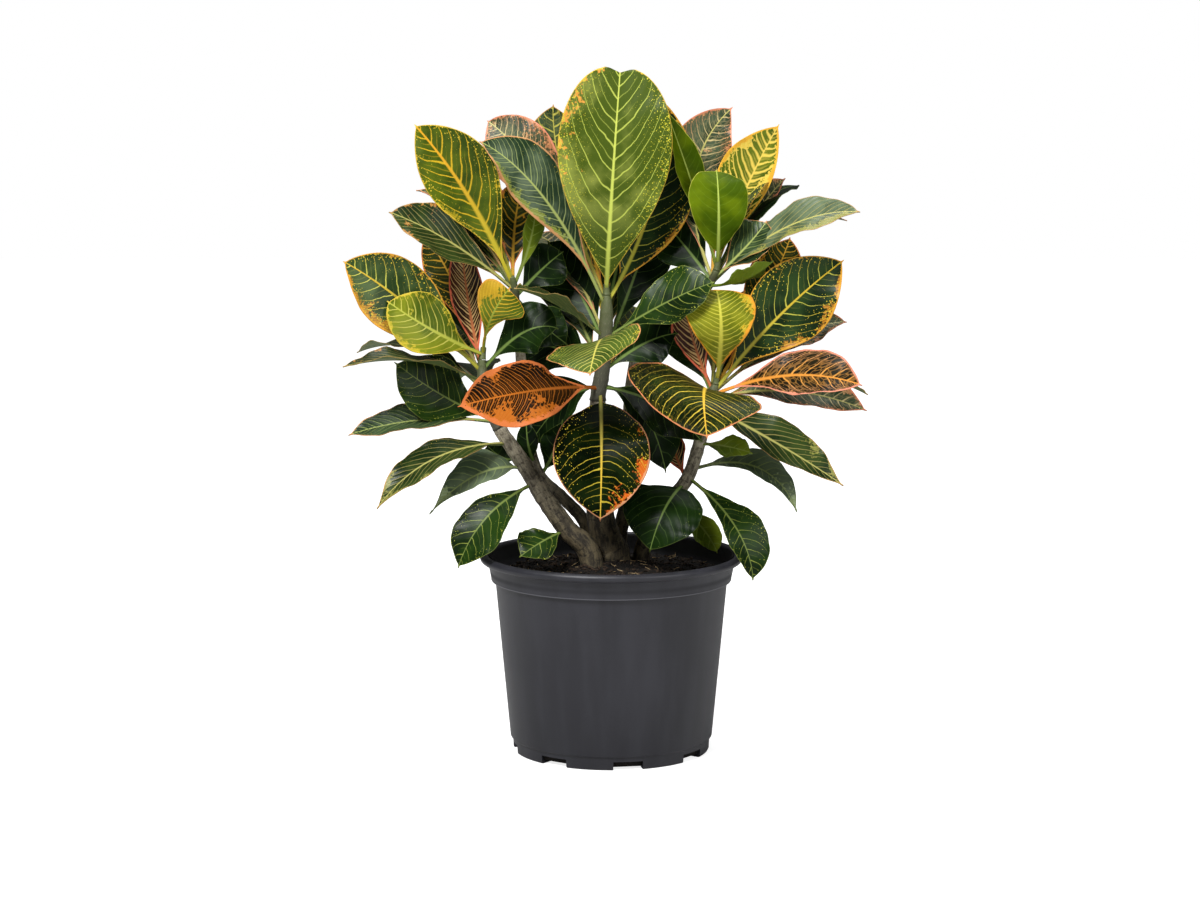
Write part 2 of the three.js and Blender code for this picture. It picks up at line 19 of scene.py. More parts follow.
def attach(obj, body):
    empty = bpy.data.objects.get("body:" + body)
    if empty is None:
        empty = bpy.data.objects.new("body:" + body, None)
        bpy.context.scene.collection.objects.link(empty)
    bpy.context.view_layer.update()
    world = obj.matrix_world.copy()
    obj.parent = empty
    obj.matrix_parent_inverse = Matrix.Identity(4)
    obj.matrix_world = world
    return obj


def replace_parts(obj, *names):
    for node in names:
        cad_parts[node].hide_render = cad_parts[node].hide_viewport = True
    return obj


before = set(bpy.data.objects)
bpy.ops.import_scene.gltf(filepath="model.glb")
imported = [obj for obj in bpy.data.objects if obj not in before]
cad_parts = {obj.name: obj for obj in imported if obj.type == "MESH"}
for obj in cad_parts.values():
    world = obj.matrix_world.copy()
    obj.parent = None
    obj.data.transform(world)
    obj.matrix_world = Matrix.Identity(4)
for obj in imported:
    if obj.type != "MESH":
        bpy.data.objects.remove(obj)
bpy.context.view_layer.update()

MM = 0.001
BODY = "root"
UP = Vector((0.0, 0.0, 1.0))
log = logging.getLogger("croton")

Socket = bpy.types.NodeSocket
Outputs = bpy.types.NodeOutputs
Tree = bpy.types.NodeTree
Material = bpy.types.Material
Point = tuple[float, float, float]
Colour = tuple[float, float, float]
Row = tuple[Point, Point, Point, Point, float, "LeafKind", dict]


# ---- Node helpers ----


class Graph:
    """Short calls for adding and linking the nodes of one node tree."""

    def __init__(self, tree: Tree) -> None:
        """Keep the tree that the nodes go into."""
        self.tree = tree

    def node(self, kind: str, **settings: object) -> bpy.types.Node:
        """Add a node.

        Args:
            kind: Blender's name for the node type.
            **settings: properties to set on it.

        Returns:
            The new node.
        """
        made = self.tree.nodes.new(kind)
        for key, value in settings.items():
            setattr(made, key, value)
        return made

    def feed(self, socket: Socket, value: object) -> None:
        """Link a socket to another one, or set its plain value.

        Args:
            socket: the socket to feed.
            value: the socket or the plain value that feeds it.
        """
        if isinstance(value, Socket):
            self.tree.links.new(value, socket)
        else:
            socket.default_value = value

    def math(self, operation: str, *values: object, clamp: bool = False) -> Socket:
        """Add a Math node.

        Args:
            operation: the node's operation.
            *values: numbers or sockets for its inputs.
            clamp: keep the result from 0 to 1.

        Returns:
            The result's socket.
        """
        made = self.node("ShaderNodeMath", operation=operation, use_clamp=clamp)
        for socket, value in zip(made.inputs, values):
            self.feed(socket, value)
        return made.outputs[0]

    def mul(self, *values: object) -> Socket:
        """Multiply the values, from the left."""
        return reduce(lambda first, second: self.math("MULTIPLY", first, second), values)

    def add(self, *values: object) -> Socket:
        """Add the values, from the left."""
        return reduce(lambda first, second: self.math("ADD", first, second), values)

    def sub(self, first: object, second: object) -> Socket:
        """Take the second value from the first."""
        return self.math("SUBTRACT", first, second)

    def div(self, first: object, second: object) -> Socket:
        """Divide the first value by the second."""
        return self.math("DIVIDE", first, second)

    def madd(self, value: object, factor: object, offset: object) -> Socket:
        """Multiply a value by a factor and add an offset."""
        return self.math("MULTIPLY_ADD", value, factor, offset)

    def size(self, value: object) -> Socket:
        """The value without its sign."""
        return self.math("ABSOLUTE", value)

    def ramp(self, value: object, low: object, high: object, start: float = 0.0, end: float = 1.0) -> Socket:
        """Map a value smoothly from one range to another, held at both ends.

        Args:
            value: the value to map.
            low: the start of its range.
            high: the end of its range.
            start: the result at low.
            end: the result at high.

        Returns:
            The result's socket.
        """
        made = self.node("ShaderNodeMapRange", interpolation_type="SMOOTHSTEP")
        for socket, item in zip(made.inputs, (value, low, high, start, end)):
            self.feed(socket, item)
        return made.outputs[0]

    def mix(self, share: object, first: object, second: object) -> Socket:
        """Mix two colours.

        Args:
            share: the share of the second colour.
            first: the first colour, or its socket.
            second: the second colour, or its socket.

        Returns:
            The mixed colour's socket.
        """
        made = self.node("ShaderNodeMix", data_type="RGBA")
        self.feed(made.inputs["Factor"], share)
        for socket, item in ((made.inputs[6], first), (made.inputs[7], second)):
            self.feed(socket, (*item, 1.0) if isinstance(item, tuple) else item)
        return made.outputs[2]

    def vector(self, x: object, y: object, z: object = 0.0) -> Socket:
        """Combine three values.

        Args:
            x: the first value.
            y: the second value.
            z: the third value.

        Returns:
            The vector's socket.
        """
        made = self.node("ShaderNodeCombineXYZ")
        for socket, item in zip(made.inputs, (x, y, z)):
            self.feed(socket, item)
        return made.outputs[0]

    def split(self, vector: Socket) -> list[Socket]:
        """Split a vector.

        Args:
            vector: the vector's socket.

        Returns:
            The sockets of its three values.
        """
        made = self.node("ShaderNodeSeparateXYZ")
        self.feed(made.inputs[0], vector)
        return list(made.outputs)

    def noise(self, vector: Socket, scale: object, detail: float = 2.0, rough: float = 0.5) -> Socket:
        """Add noise.

        Args:
            vector: the socket of the place.
            scale: how fine the noise is.
            detail: how many finer layers it has.
            rough: how strong those layers are.

        Returns:
            The value's socket.
        """
        made = self.node("ShaderNodeTexNoise")
        self.feed(made.inputs["Vector"], vector)
        self.feed(made.inputs["Scale"], scale)
        self.feed(made.inputs["Detail"], detail)
        self.feed(made.inputs["Roughness"], rough)
        return made.outputs["Fac"]

    def sway(self, vector: Socket, scale: float, reach: object) -> Socket:
        """Noise of a scale, from -reach / 2 to reach / 2."""
        return self.mul(self.sub(self.noise(vector, scale), 0.5), reach)

    def cells(self, vector: Socket, scale: object, feature: str = "F1") -> Outputs:
        """Add random cells.

        Args:
            vector: the socket of the place.
            scale: how fine the cells are.
            feature: what the distance is measured to.

        Returns:
            The node's outputs.
        """
        made = self.node("ShaderNodeTexVoronoi", feature=feature)
        self.feed(made.inputs["Vector"], vector)
        self.feed(made.inputs["Scale"], scale)
        return made.outputs

    def position(self) -> Socket:
        """Object coordinates, in metres."""
        return self.node("ShaderNodeTexCoord").outputs["Object"]

    def attribute(self, name: str, output: str = "Vector") -> Socket:
        """Read a mesh attribute."""
        return self.node("ShaderNodeAttribute", attribute_name=name).outputs[output]

    def group(self, tree: Tree, **values: object) -> Outputs:
        """Place a group.

        Args:
            tree: the group.
            **values: its inputs by name (spaces written as _).

        Returns:
            The group's outputs.
        """
        made = self.node("ShaderNodeGroup", node_tree=tree)
        for key, value in values.items():
            self.feed(made.inputs[key.replace("_", " ")], value)
        return made.outputs


def new_group(
    name: str, inputs: dict[str, object], outputs: tuple[str, ...]
) -> tuple[Tree, Graph, Outputs, bpy.types.Node]:
    """Start a shader node group.

    Args:
        name: the group's name.
        inputs: the input names with their defaults; None stands for a vector.
        outputs: the names of the value outputs.

    Returns:
        The group's tree, its graph, its input sockets by name and its output node.
    """
    tree = bpy.data.node_groups.new(name, "ShaderNodeTree")
    for key, default in inputs.items():
        kind = "NodeSocketVector" if default is None else "NodeSocketFloat"
        socket = tree.interface.new_socket(name=key, in_out="INPUT", socket_type=kind)
        if default is not None:
            socket.default_value = default
    for key in outputs:
        tree.interface.new_socket(name=key, in_out="OUTPUT", socket_type="NodeSocketFloat")
    graph = Graph(tree)
    return tree, graph, graph.node("NodeGroupInput").outputs, graph.node("NodeGroupOutput")


class Groups:
    """The shader node groups that several materials share, each built once.

    The numbers below hold for every look, in millimetres or shares. SHIFT values move the noise, so that
    each leaf, and each half of it, gets its own.
    """

    VEIN_SHIFT = 61.0
    BLOTCH_SHIFT = 83.0
    SPECK_SHIFT = 29.0
    TURN_SHIFT = 7.3
    HALF_SHIFT = 0.46
    ROW_SHIFT = 17.0
    HUG_POWER = 5.0
    HUG_REACH = 5.0
    VEIN_ROOT = 1.3
    VEIN_THINNING = -0.75
    ZONE_SWELL = 0.9
    LINE_EDGE = 1.4
    RIB_EDGE = 1.6
    NET_SCALE = 0.27
    NET_SQUASH = 0.7
    RIB_RELIEF = 0.8
    BLOTCH_EDGE = 0.1
    SPECK_EDGE = 0.06
    SPECK_REACH = 0.62

    def __init__(self) -> None:
        """Build all of the groups."""
        self.veins = self._veins()
        self.blotches = self._blotches()
        self.speckles = self._speckles()
        self.grain = self._grain()

    @staticmethod
    def _veins() -> Tree:
        """Feather veins, rib, margin and net of a leaf.

        The Blade vector holds millimetres across, along and in from the margin. The Place vector holds
        the shares across and along, and the leaf's own number. Zone thickens what lies in it. Second is
        the strength of thin veins between the main ones, and Comb that of the close lines in the zone.

        Returns:
            The group.
        """
        inputs = {"Blade": None, "Place": None, "Zone": 0.0, "Pitch": 9.0, "Lean": 0.7, "Bow": 0.016}
        inputs |= {"Width": 0.5, "Second": 0.4, "Comb": 0.8, "Beads": 0.6}
        inputs |= {"Rib Width": 1.3, "Margin Width": 1.0}
        outputs = ("Veins", "Net", "Rib", "Margin", "Relief")
        own = Groups
        tree, g, given, result = new_group("leaf_veins", inputs, outputs)
        across, along, inward = g.split(given["Blade"])
        share, place, number = g.split(given["Place"])
        out = g.size(across)
        out_share = g.size(share)
        side = g.math("GREATER_THAN", across, 0.0)
        spot = g.vector(across, along, g.mul(number, own.VEIN_SHIFT))
        waver = g.sway(spot, scale=0.045, reach=9.0)
        tremble = g.sway(spot, scale=0.16, reach=1.6)
        steeper = g.madd(place, 0.5, 0.75)
        slope = g.mul(out, given["Lean"], steeper)
        bow = g.mul(out, out, given["Bow"])
        hug = g.mul(g.math("POWER", out_share, own.HUG_POWER), own.HUG_REACH)
        run = g.sub(g.sub(along, slope), g.add(bow, hug))
        run = g.add(run, g.add(waver, tremble))
        shift = g.add(g.mul(side, own.HALF_SHIFT), g.mul(number, own.TURN_SHIFT))
        turn = g.add(g.div(run, given["Pitch"]), shift)
        slant = g.math("INVERSE_SQRT", g.madd(given["Lean"], given["Lean"], 1.0))
        swell = g.madd(given["Zone"], own.ZONE_SWELL, 1.0)
        taper = g.mul(g.madd(out_share, own.VEIN_THINNING, own.VEIN_ROOT), given["Width"], swell)

        def lines(times: float, offset: float) -> tuple[Socket, ...]:
            """Find the nearest one of a row of lines.

            Args:
                times: how many lines stand for each main vein.
                offset: the shift of the row, as a share of the gap.

            Returns:
                The distance to the line, the line's random value, and the place between lines.
            """
            turns = g.madd(turn, times, offset)
            chooser = g.node("ShaderNodeTexWhiteNoise", noise_dimensions="3D")
            cell = g.add(g.math("FLOOR", turns), times * own.ROW_SHIFT + offset)
            g.feed(chooser.inputs["Vector"], g.vector(cell, side, number))
            middle = g.size(g.sub(g.math("FRACT", turns), 0.5))
            away = g.mul(middle, given["Pitch"], slant)
            return g.div(away, times), chooser.outputs["Value"], middle

        def stroke(away: Socket, chance: Socket, thick: float) -> Socket:
            """A line's mask, from the distance to it: 0.7 to 1.3 times as wide as the usual by chance."""
            width = g.mul(taper, g.madd(chance, 0.6 * thick, 0.7 * thick))
            return g.math("SUBTRACT", own.LINE_EDGE, g.div(away, width), clamp=True)

        def fade(chance: Socket, least: float, spread: float, soft: float) -> Socket:
            """A mask that ends a line at a share of the way out, which differs by chance."""
            reach = g.madd(chance, spread, least)
            return g.ramp(out_share, g.sub(reach, soft), reach, 1.0, 0.0)

        away, chance, offset = lines(times=1.0, offset=0.0)
        shown = fade(chance, least=0.86, spread=0.3, soft=0.16)
        main = g.mul(stroke(away, chance, thick=1.0), g.math("MAXIMUM", shown, given["Zone"]))
        away, chance, _ = lines(times=1.0, offset=0.5)
        shown = fade(chance, least=0.1, spread=0.7, soft=0.2)
        second = g.mul(stroke(away, chance, thick=0.6), g.mul(shown, given["Second"]))
        away, chance, _ = lines(times=3.0, offset=0.25)
        comb = g.mul(stroke(away, chance, thick=0.62), g.mul(given["Zone"], given["Comb"]))
        veins = g.math("MAXIMUM", main, g.math("MAXIMUM", second, comb))
        broken = g.mul(g.ramp(g.noise(spot, scale=0.9), 0.38, 0.5, 1.0, 0.0), given["Beads"])
        veins = g.mul(veins, g.sub(1.0, g.mul(broken, out_share)))
        squashed = g.vector(g.mul(across, own.NET_SQUASH), run, number)
        cells = g.cells(squashed, own.NET_SCALE, "DISTANCE_TO_EDGE")
        net = g.ramp(cells["Distance"], 0.03, 0.13, 1.0, 0.0)
        rib_half = g.mul(given["Rib Width"], g.ramp(place, 0.1, 1.0, 1.0, 0.3))
        rib = g.math("SUBTRACT", own.RIB_EDGE, g.div(out, rib_half), clamp=True)
        wider = g.madd(given["Zone"], 1.4, 0.9)
        ragged = g.mul(g.noise(spot, scale=0.3, detail=4.0, rough=0.65), given["Margin Width"], wider)
        edge = g.ramp(inward, ragged, g.madd(ragged, 1.5, 0.25), 1.0, 0.0)
        quilt = g.ramp(offset, 0.5, 0.06, 0.0, 1.0)
        relief = g.madd(rib, own.RIB_RELIEF, g.sub(1.0, quilt))
        values = {"Veins": veins, "Net": net, "Rib": rib, "Margin": edge, "Relief": relief}
        for key, value in values.items():
            g.feed(result.inputs[key], value)
        return tree

    @staticmethod
    def _blotches() -> Tree:
        """Ragged patches of a leaf's second colour, more towards the margin, the tip or one side.

        Returns:
            The group.
        """
        inputs = {"Blade": None, "Place": None}
        inputs |= {"Size": 14.0, "Amount": 0.3, "Edge": 0.2, "Tip": 0.0, "Side": 0.0, "Ragged": 0.5}
        tree, g, given, result = new_group("leaf_blotches", inputs, ("Mask",))
        across, along, _ = g.split(given["Blade"])
        share, place, number = g.split(given["Place"])
        spot = g.vector(across, along, g.mul(number, Groups.BLOTCH_SHIFT))
        patch = g.noise(spot, g.div(1.0, given["Size"]))
        crumbs = g.sway(spot, scale=0.42, reach=given["Ragged"])
        edge = g.mul(share, share, given["Edge"])
        tip = g.mul(place, place, given["Tip"])
        edge = g.madd(share, given["Side"], edge)
        level = g.add(patch, crumbs, g.add(edge, tip))
        floor = g.sub(1.0, given["Amount"])
        g.feed(result.inputs["Mask"], g.ramp(level, floor, g.add(floor, Groups.BLOTCH_EDGE)))
        return tree

    @staticmethod
    def _speckles() -> Tree:
        """Small spots of random size, more of them towards the margin.

        Returns:
            The group.
        """
        inputs = {"Blade": None, "Place": None, "Size": 2.2, "Amount": 0.4}
        tree, g, given, result = new_group("leaf_speckles", inputs, ("Mask",))
        across, along, _ = g.split(given["Blade"])
        share, _, number = g.split(given["Place"])
        own = Groups
        spots = g.cells(g.vector(across, along, g.mul(number, own.SPECK_SHIFT)), g.div(1.0, given["Size"]))
        chance = g.split(spots["Color"])[0]
        crowd = g.madd(g.mul(share, share), 1.1, 0.14)
        reach = g.mul(g.mul(chance, chance, own.SPECK_REACH), g.mul(crowd, given["Amount"]))
        spot = g.ramp(spots["Distance"], reach, g.add(reach, own.SPECK_EDGE), 1.0, 0.0)
        g.feed(result.inputs["Mask"], g.mul(spot, g.ramp(reach, 0.02, 0.08)))
        return tree

    @staticmethod
    def _grain() -> Tree:
        """Two sizes of noise on object coordinates, as one value from 0 to 1.

        Returns:
            The group.
        """
        inputs = {"Vector": None, "Coarse": 40.0, "Fine": 400.0, "Share": 0.4}
        tree, g, given, result = new_group("surface_grain", inputs, ("Value",))
        coarse = g.noise(given["Vector"], given["Coarse"], 3.0)
        fine = g.noise(given["Vector"], given["Fine"], 2.0)
        g.feed(result.inputs["Value"], g.madd(g.sub(fine, coarse), given["Share"], coarse))
        return tree


GROUPS = Groups()


def start_material(name: str, **shader_values: object) -> tuple[Material, Graph, bpy.types.Node]:
    """Start a node material.

    Args:
        name: the material's name.
        **shader_values: the shader's socket values by name (spaces written as _).

    Returns:
        The material, its graph and its shader node.
    """
    made = bpy.data.materials.new(name)
    made.use_nodes = True
    graph = Graph(made.node_tree)
    shader = made.node_tree.nodes["Principled BSDF"]
    for key, value in shader_values.items():
        shader.inputs[key.replace("_", " ")].default_value = value
    return made, graph, shader


def add_bump(graph: Graph, shader: bpy.types.Node, height: object, strength: float, depth: float) -> None:
    """Feed the shader's normal from a height.

    Args:
        graph: the material's graph.
        shader: its shader node.
        height: the height's socket.
        strength: the strength of the bump.
        depth: its depth in metres.
    """
    bump = graph.node("ShaderNodeBump")
    bump.inputs["Strength"].default_value = strength
    bump.inputs["Distance"].default_value = depth
    graph.feed(bump.inputs["Height"], height)
    graph.feed(shader.inputs["Normal"], bump.outputs[0])


# ---- Finishes ----


class LeafKind(Enum):
    """The looks that a leaf can have."""

    BRIGHT = "bright_green_leaf"
    YOUNG = "young_yellow_green_leaf"
    STRIPED_YOUNG = "young_striped_leaf"
    EDGED_YOUNG = "young_orange_edged_leaf"
    PLAIN_YOUNG = "plain_young_leaf"
    GOLD = "gold_veined_leaf"
    LOW_GOLD = "gold_veined_leaf_with_orange_low_edge"
    BROAD_GOLD = "broad_gold_veined_leaf"
    THIN = "thin_veined_leaf"
    SPECKLED = "speckled_leaf"
    COMB = "orange_comb_leaf"
    LACE = "orange_laced_leaf"
    EMBER = "orange_veined_leaf"
    PINK = "pink_veined_leaf"
    RED = "red_brown_leaf"
    PLAIN = "plain_dark_leaf"
    OLIVE = "plain_olive_leaf"
    STREAK = "pale_streaked_leaf"
    CURLED = "pale_streaked_leaf_with_orange_tip"
    OLIVE_STREAK = "pale_streaked_leaf_with_olive_half"
    GREY = "glossy_grey_green_leaf"
    # Painted sheen: this look's pale grey-green light colour stands in for a reflection, over the leaf's own
    # grey-green.
    SILVER = "silvery_grey_green_leaf"
    PALE = "pale_grey_green_leaf"
    YELLOW = "yellow_striped_leaf"
    FRONT = "dark_arched_leaf"
    NETTED = "bold_yellow_veined_leaf"
    DENSE = "dense_yellow_veined_leaf"


K = LeafKind  # a short name for the tables below


@dataclass(frozen=True)
class LeafFinish:
    """Colours and sizes of one leaf look. Widths and sizes are in millimetres."""

    dark: Colour = (0.007, 0.02, 0.004)
    light: Colour = (0.022, 0.052, 0.009)
    vein: Colour = (0.4, 0.41, 0.06)
    rib: Colour = (0.4, 0.41, 0.07)
    margin: Colour = (0.5, 0.24, 0.05)
    under: Colour = (0.12, 0.17, 0.055)
    rib_tip: Colour | None = None
    vein_edge: Colour | None = None
    blotch: Colour = (0.5, 0.22, 0.02)
    speck: Colour = (0.6, 0.46, 0.04)
    base_light: float = 0.0
    base_fade: float = 0.0
    base_dark: float = 0.0
    pitch: float = 9.0
    lean: float = 0.52
    bow: float = 0.02
    vein_width: float = 0.42
    vein_share: float = 0.92
    second: float = 0.15
    comb: float = 0.8
    beads: float = 0.6
    net_share: float = 0.0
    rib_width: float = 1.1
    margin_width: float = 0.9
    blotch_size: float = 16.0
    blotch_amount: float = 0.0
    blotch_edge: float = 0.25
    blotch_tip: float = 0.0
    blotch_side: float = 0.0
    blotch_share: float = 0.8
    ragged: float = 0.6
    speck_size: float = 1.6
    speck_amount: float = 0.0
    roughness: float = 0.33
    gloss: float = 0.12

    MOTTLE_SHIFT = 47.0
    MOTTLE_SCALE = 0.045
    MOTTLE_RANGE = (0.34, 0.66)
    # Painted shade: the half of each leaf with positive share across is painted darker and the other half
    # lighter, standing in for light falling across the fold.
    PAINTED_HALF_SHADE = -0.12
    DARK_BASE = (0.28, 0.5)
    FADED_BASE = (0.25, 0.65)
    VEIN_EDGE = (0.3, 0.9)
    RIB_TIP = (0.1, 0.9)
    GLOSS_SCALE = 0.12
    GLOSS_SPREAD = 0.16
    UNDER_ROUGHER = 0.2
    UNDER_SHARE = 0.85
    UNDER_VEINS = 0.35
    RELIEF_STRENGTH = 0.16
    RELIEF_DEPTH = 0.0005

    def material(self, name: str) -> Material:
        """Make the material of this look.

        Args:
            name: the material's name.

        Returns:
            The material.
        """
        made, g, shader = start_material(name, Specular_IOR_Level=self.gloss)
        blade = g.attribute("blade")
        place = g.attribute("place")
        under = g.attribute("under", "Fac")
        across, along, _ = g.split(blade)
        side, share, number = g.split(place)
        spot = g.vector(across, along, g.mul(number, self.MOTTLE_SHIFT))
        zone = g.group(
            GROUPS.blotches, Blade=blade, Place=place, Size=self.blotch_size, Amount=self.blotch_amount,
            Edge=self.blotch_edge, Tip=self.blotch_tip, Side=self.blotch_side, Ragged=self.ragged,
        )[0]
        veins = g.group(
            GROUPS.veins, Blade=blade, Place=place, Zone=zone, Pitch=self.pitch, Lean=self.lean, Bow=self.bow,
            Width=self.vein_width, Second=self.second, Comb=self.comb, Beads=self.beads,
            Rib_Width=self.rib_width, Margin_Width=self.margin_width,
        )
        # Painted shade across the fold: one half of the leaf darker, the other lighter.
        broad = g.madd(side, self.PAINTED_HALF_SHADE, g.noise(spot, self.MOTTLE_SCALE, 3.0))
        broad = g.madd(g.sub(0.5, share), self.base_light, broad)
        colour = g.mix(g.ramp(broad, *self.MOTTLE_RANGE), self.dark, self.light)
        colour = g.mix(g.ramp(share, *self.DARK_BASE, self.base_dark, 0.0), colour, self.dark)
        colour = g.mix(g.mul(zone, self.blotch_share), colour, self.blotch)
        vein = g.mix(g.ramp(g.size(side), *self.VEIN_EDGE), self.vein, self.vein_edge or self.vein)
        colour = g.mix(g.mul(veins["Net"], self.net_share), colour, vein)
        faded = self.vein_share * (1 - self.base_fade)
        strength = g.ramp(share, *self.FADED_BASE, faded, self.vein_share)
        colour = g.mix(g.mul(veins["Veins"], strength), colour, vein)
        if self.speck_amount:
            sizes = {"Size": self.speck_size, "Amount": self.speck_amount}
            specks = g.group(GROUPS.speckles, Blade=blade, Place=place, **sizes)
            colour = g.mix(specks[0], colour, self.speck)
        rib = g.mix(g.ramp(share, *self.RIB_TIP), self.rib, self.rib_tip or self.rib)
        colour = g.mix(veins["Rib"], colour, rib)
        colour = g.mix(veins["Margin"], colour, self.margin)
        pale = g.mix(g.mul(veins["Veins"], self.UNDER_VEINS), self.under, self.rib)
        colour = g.mix(g.mul(under, self.UNDER_SHARE), colour, pale)
        g.feed(shader.inputs["Base Color"], colour)
        least = self.roughness - self.GLOSS_SPREAD / 2
        rough = g.madd(g.noise(spot, self.GLOSS_SCALE, 3.0), self.GLOSS_SPREAD, least)
        g.feed(shader.inputs["Roughness"], g.madd(under, self.UNDER_ROUGHER, rough))
        add_bump(g, shader, veins["Relief"], self.RELIEF_STRENGTH, self.RELIEF_DEPTH)
        return made


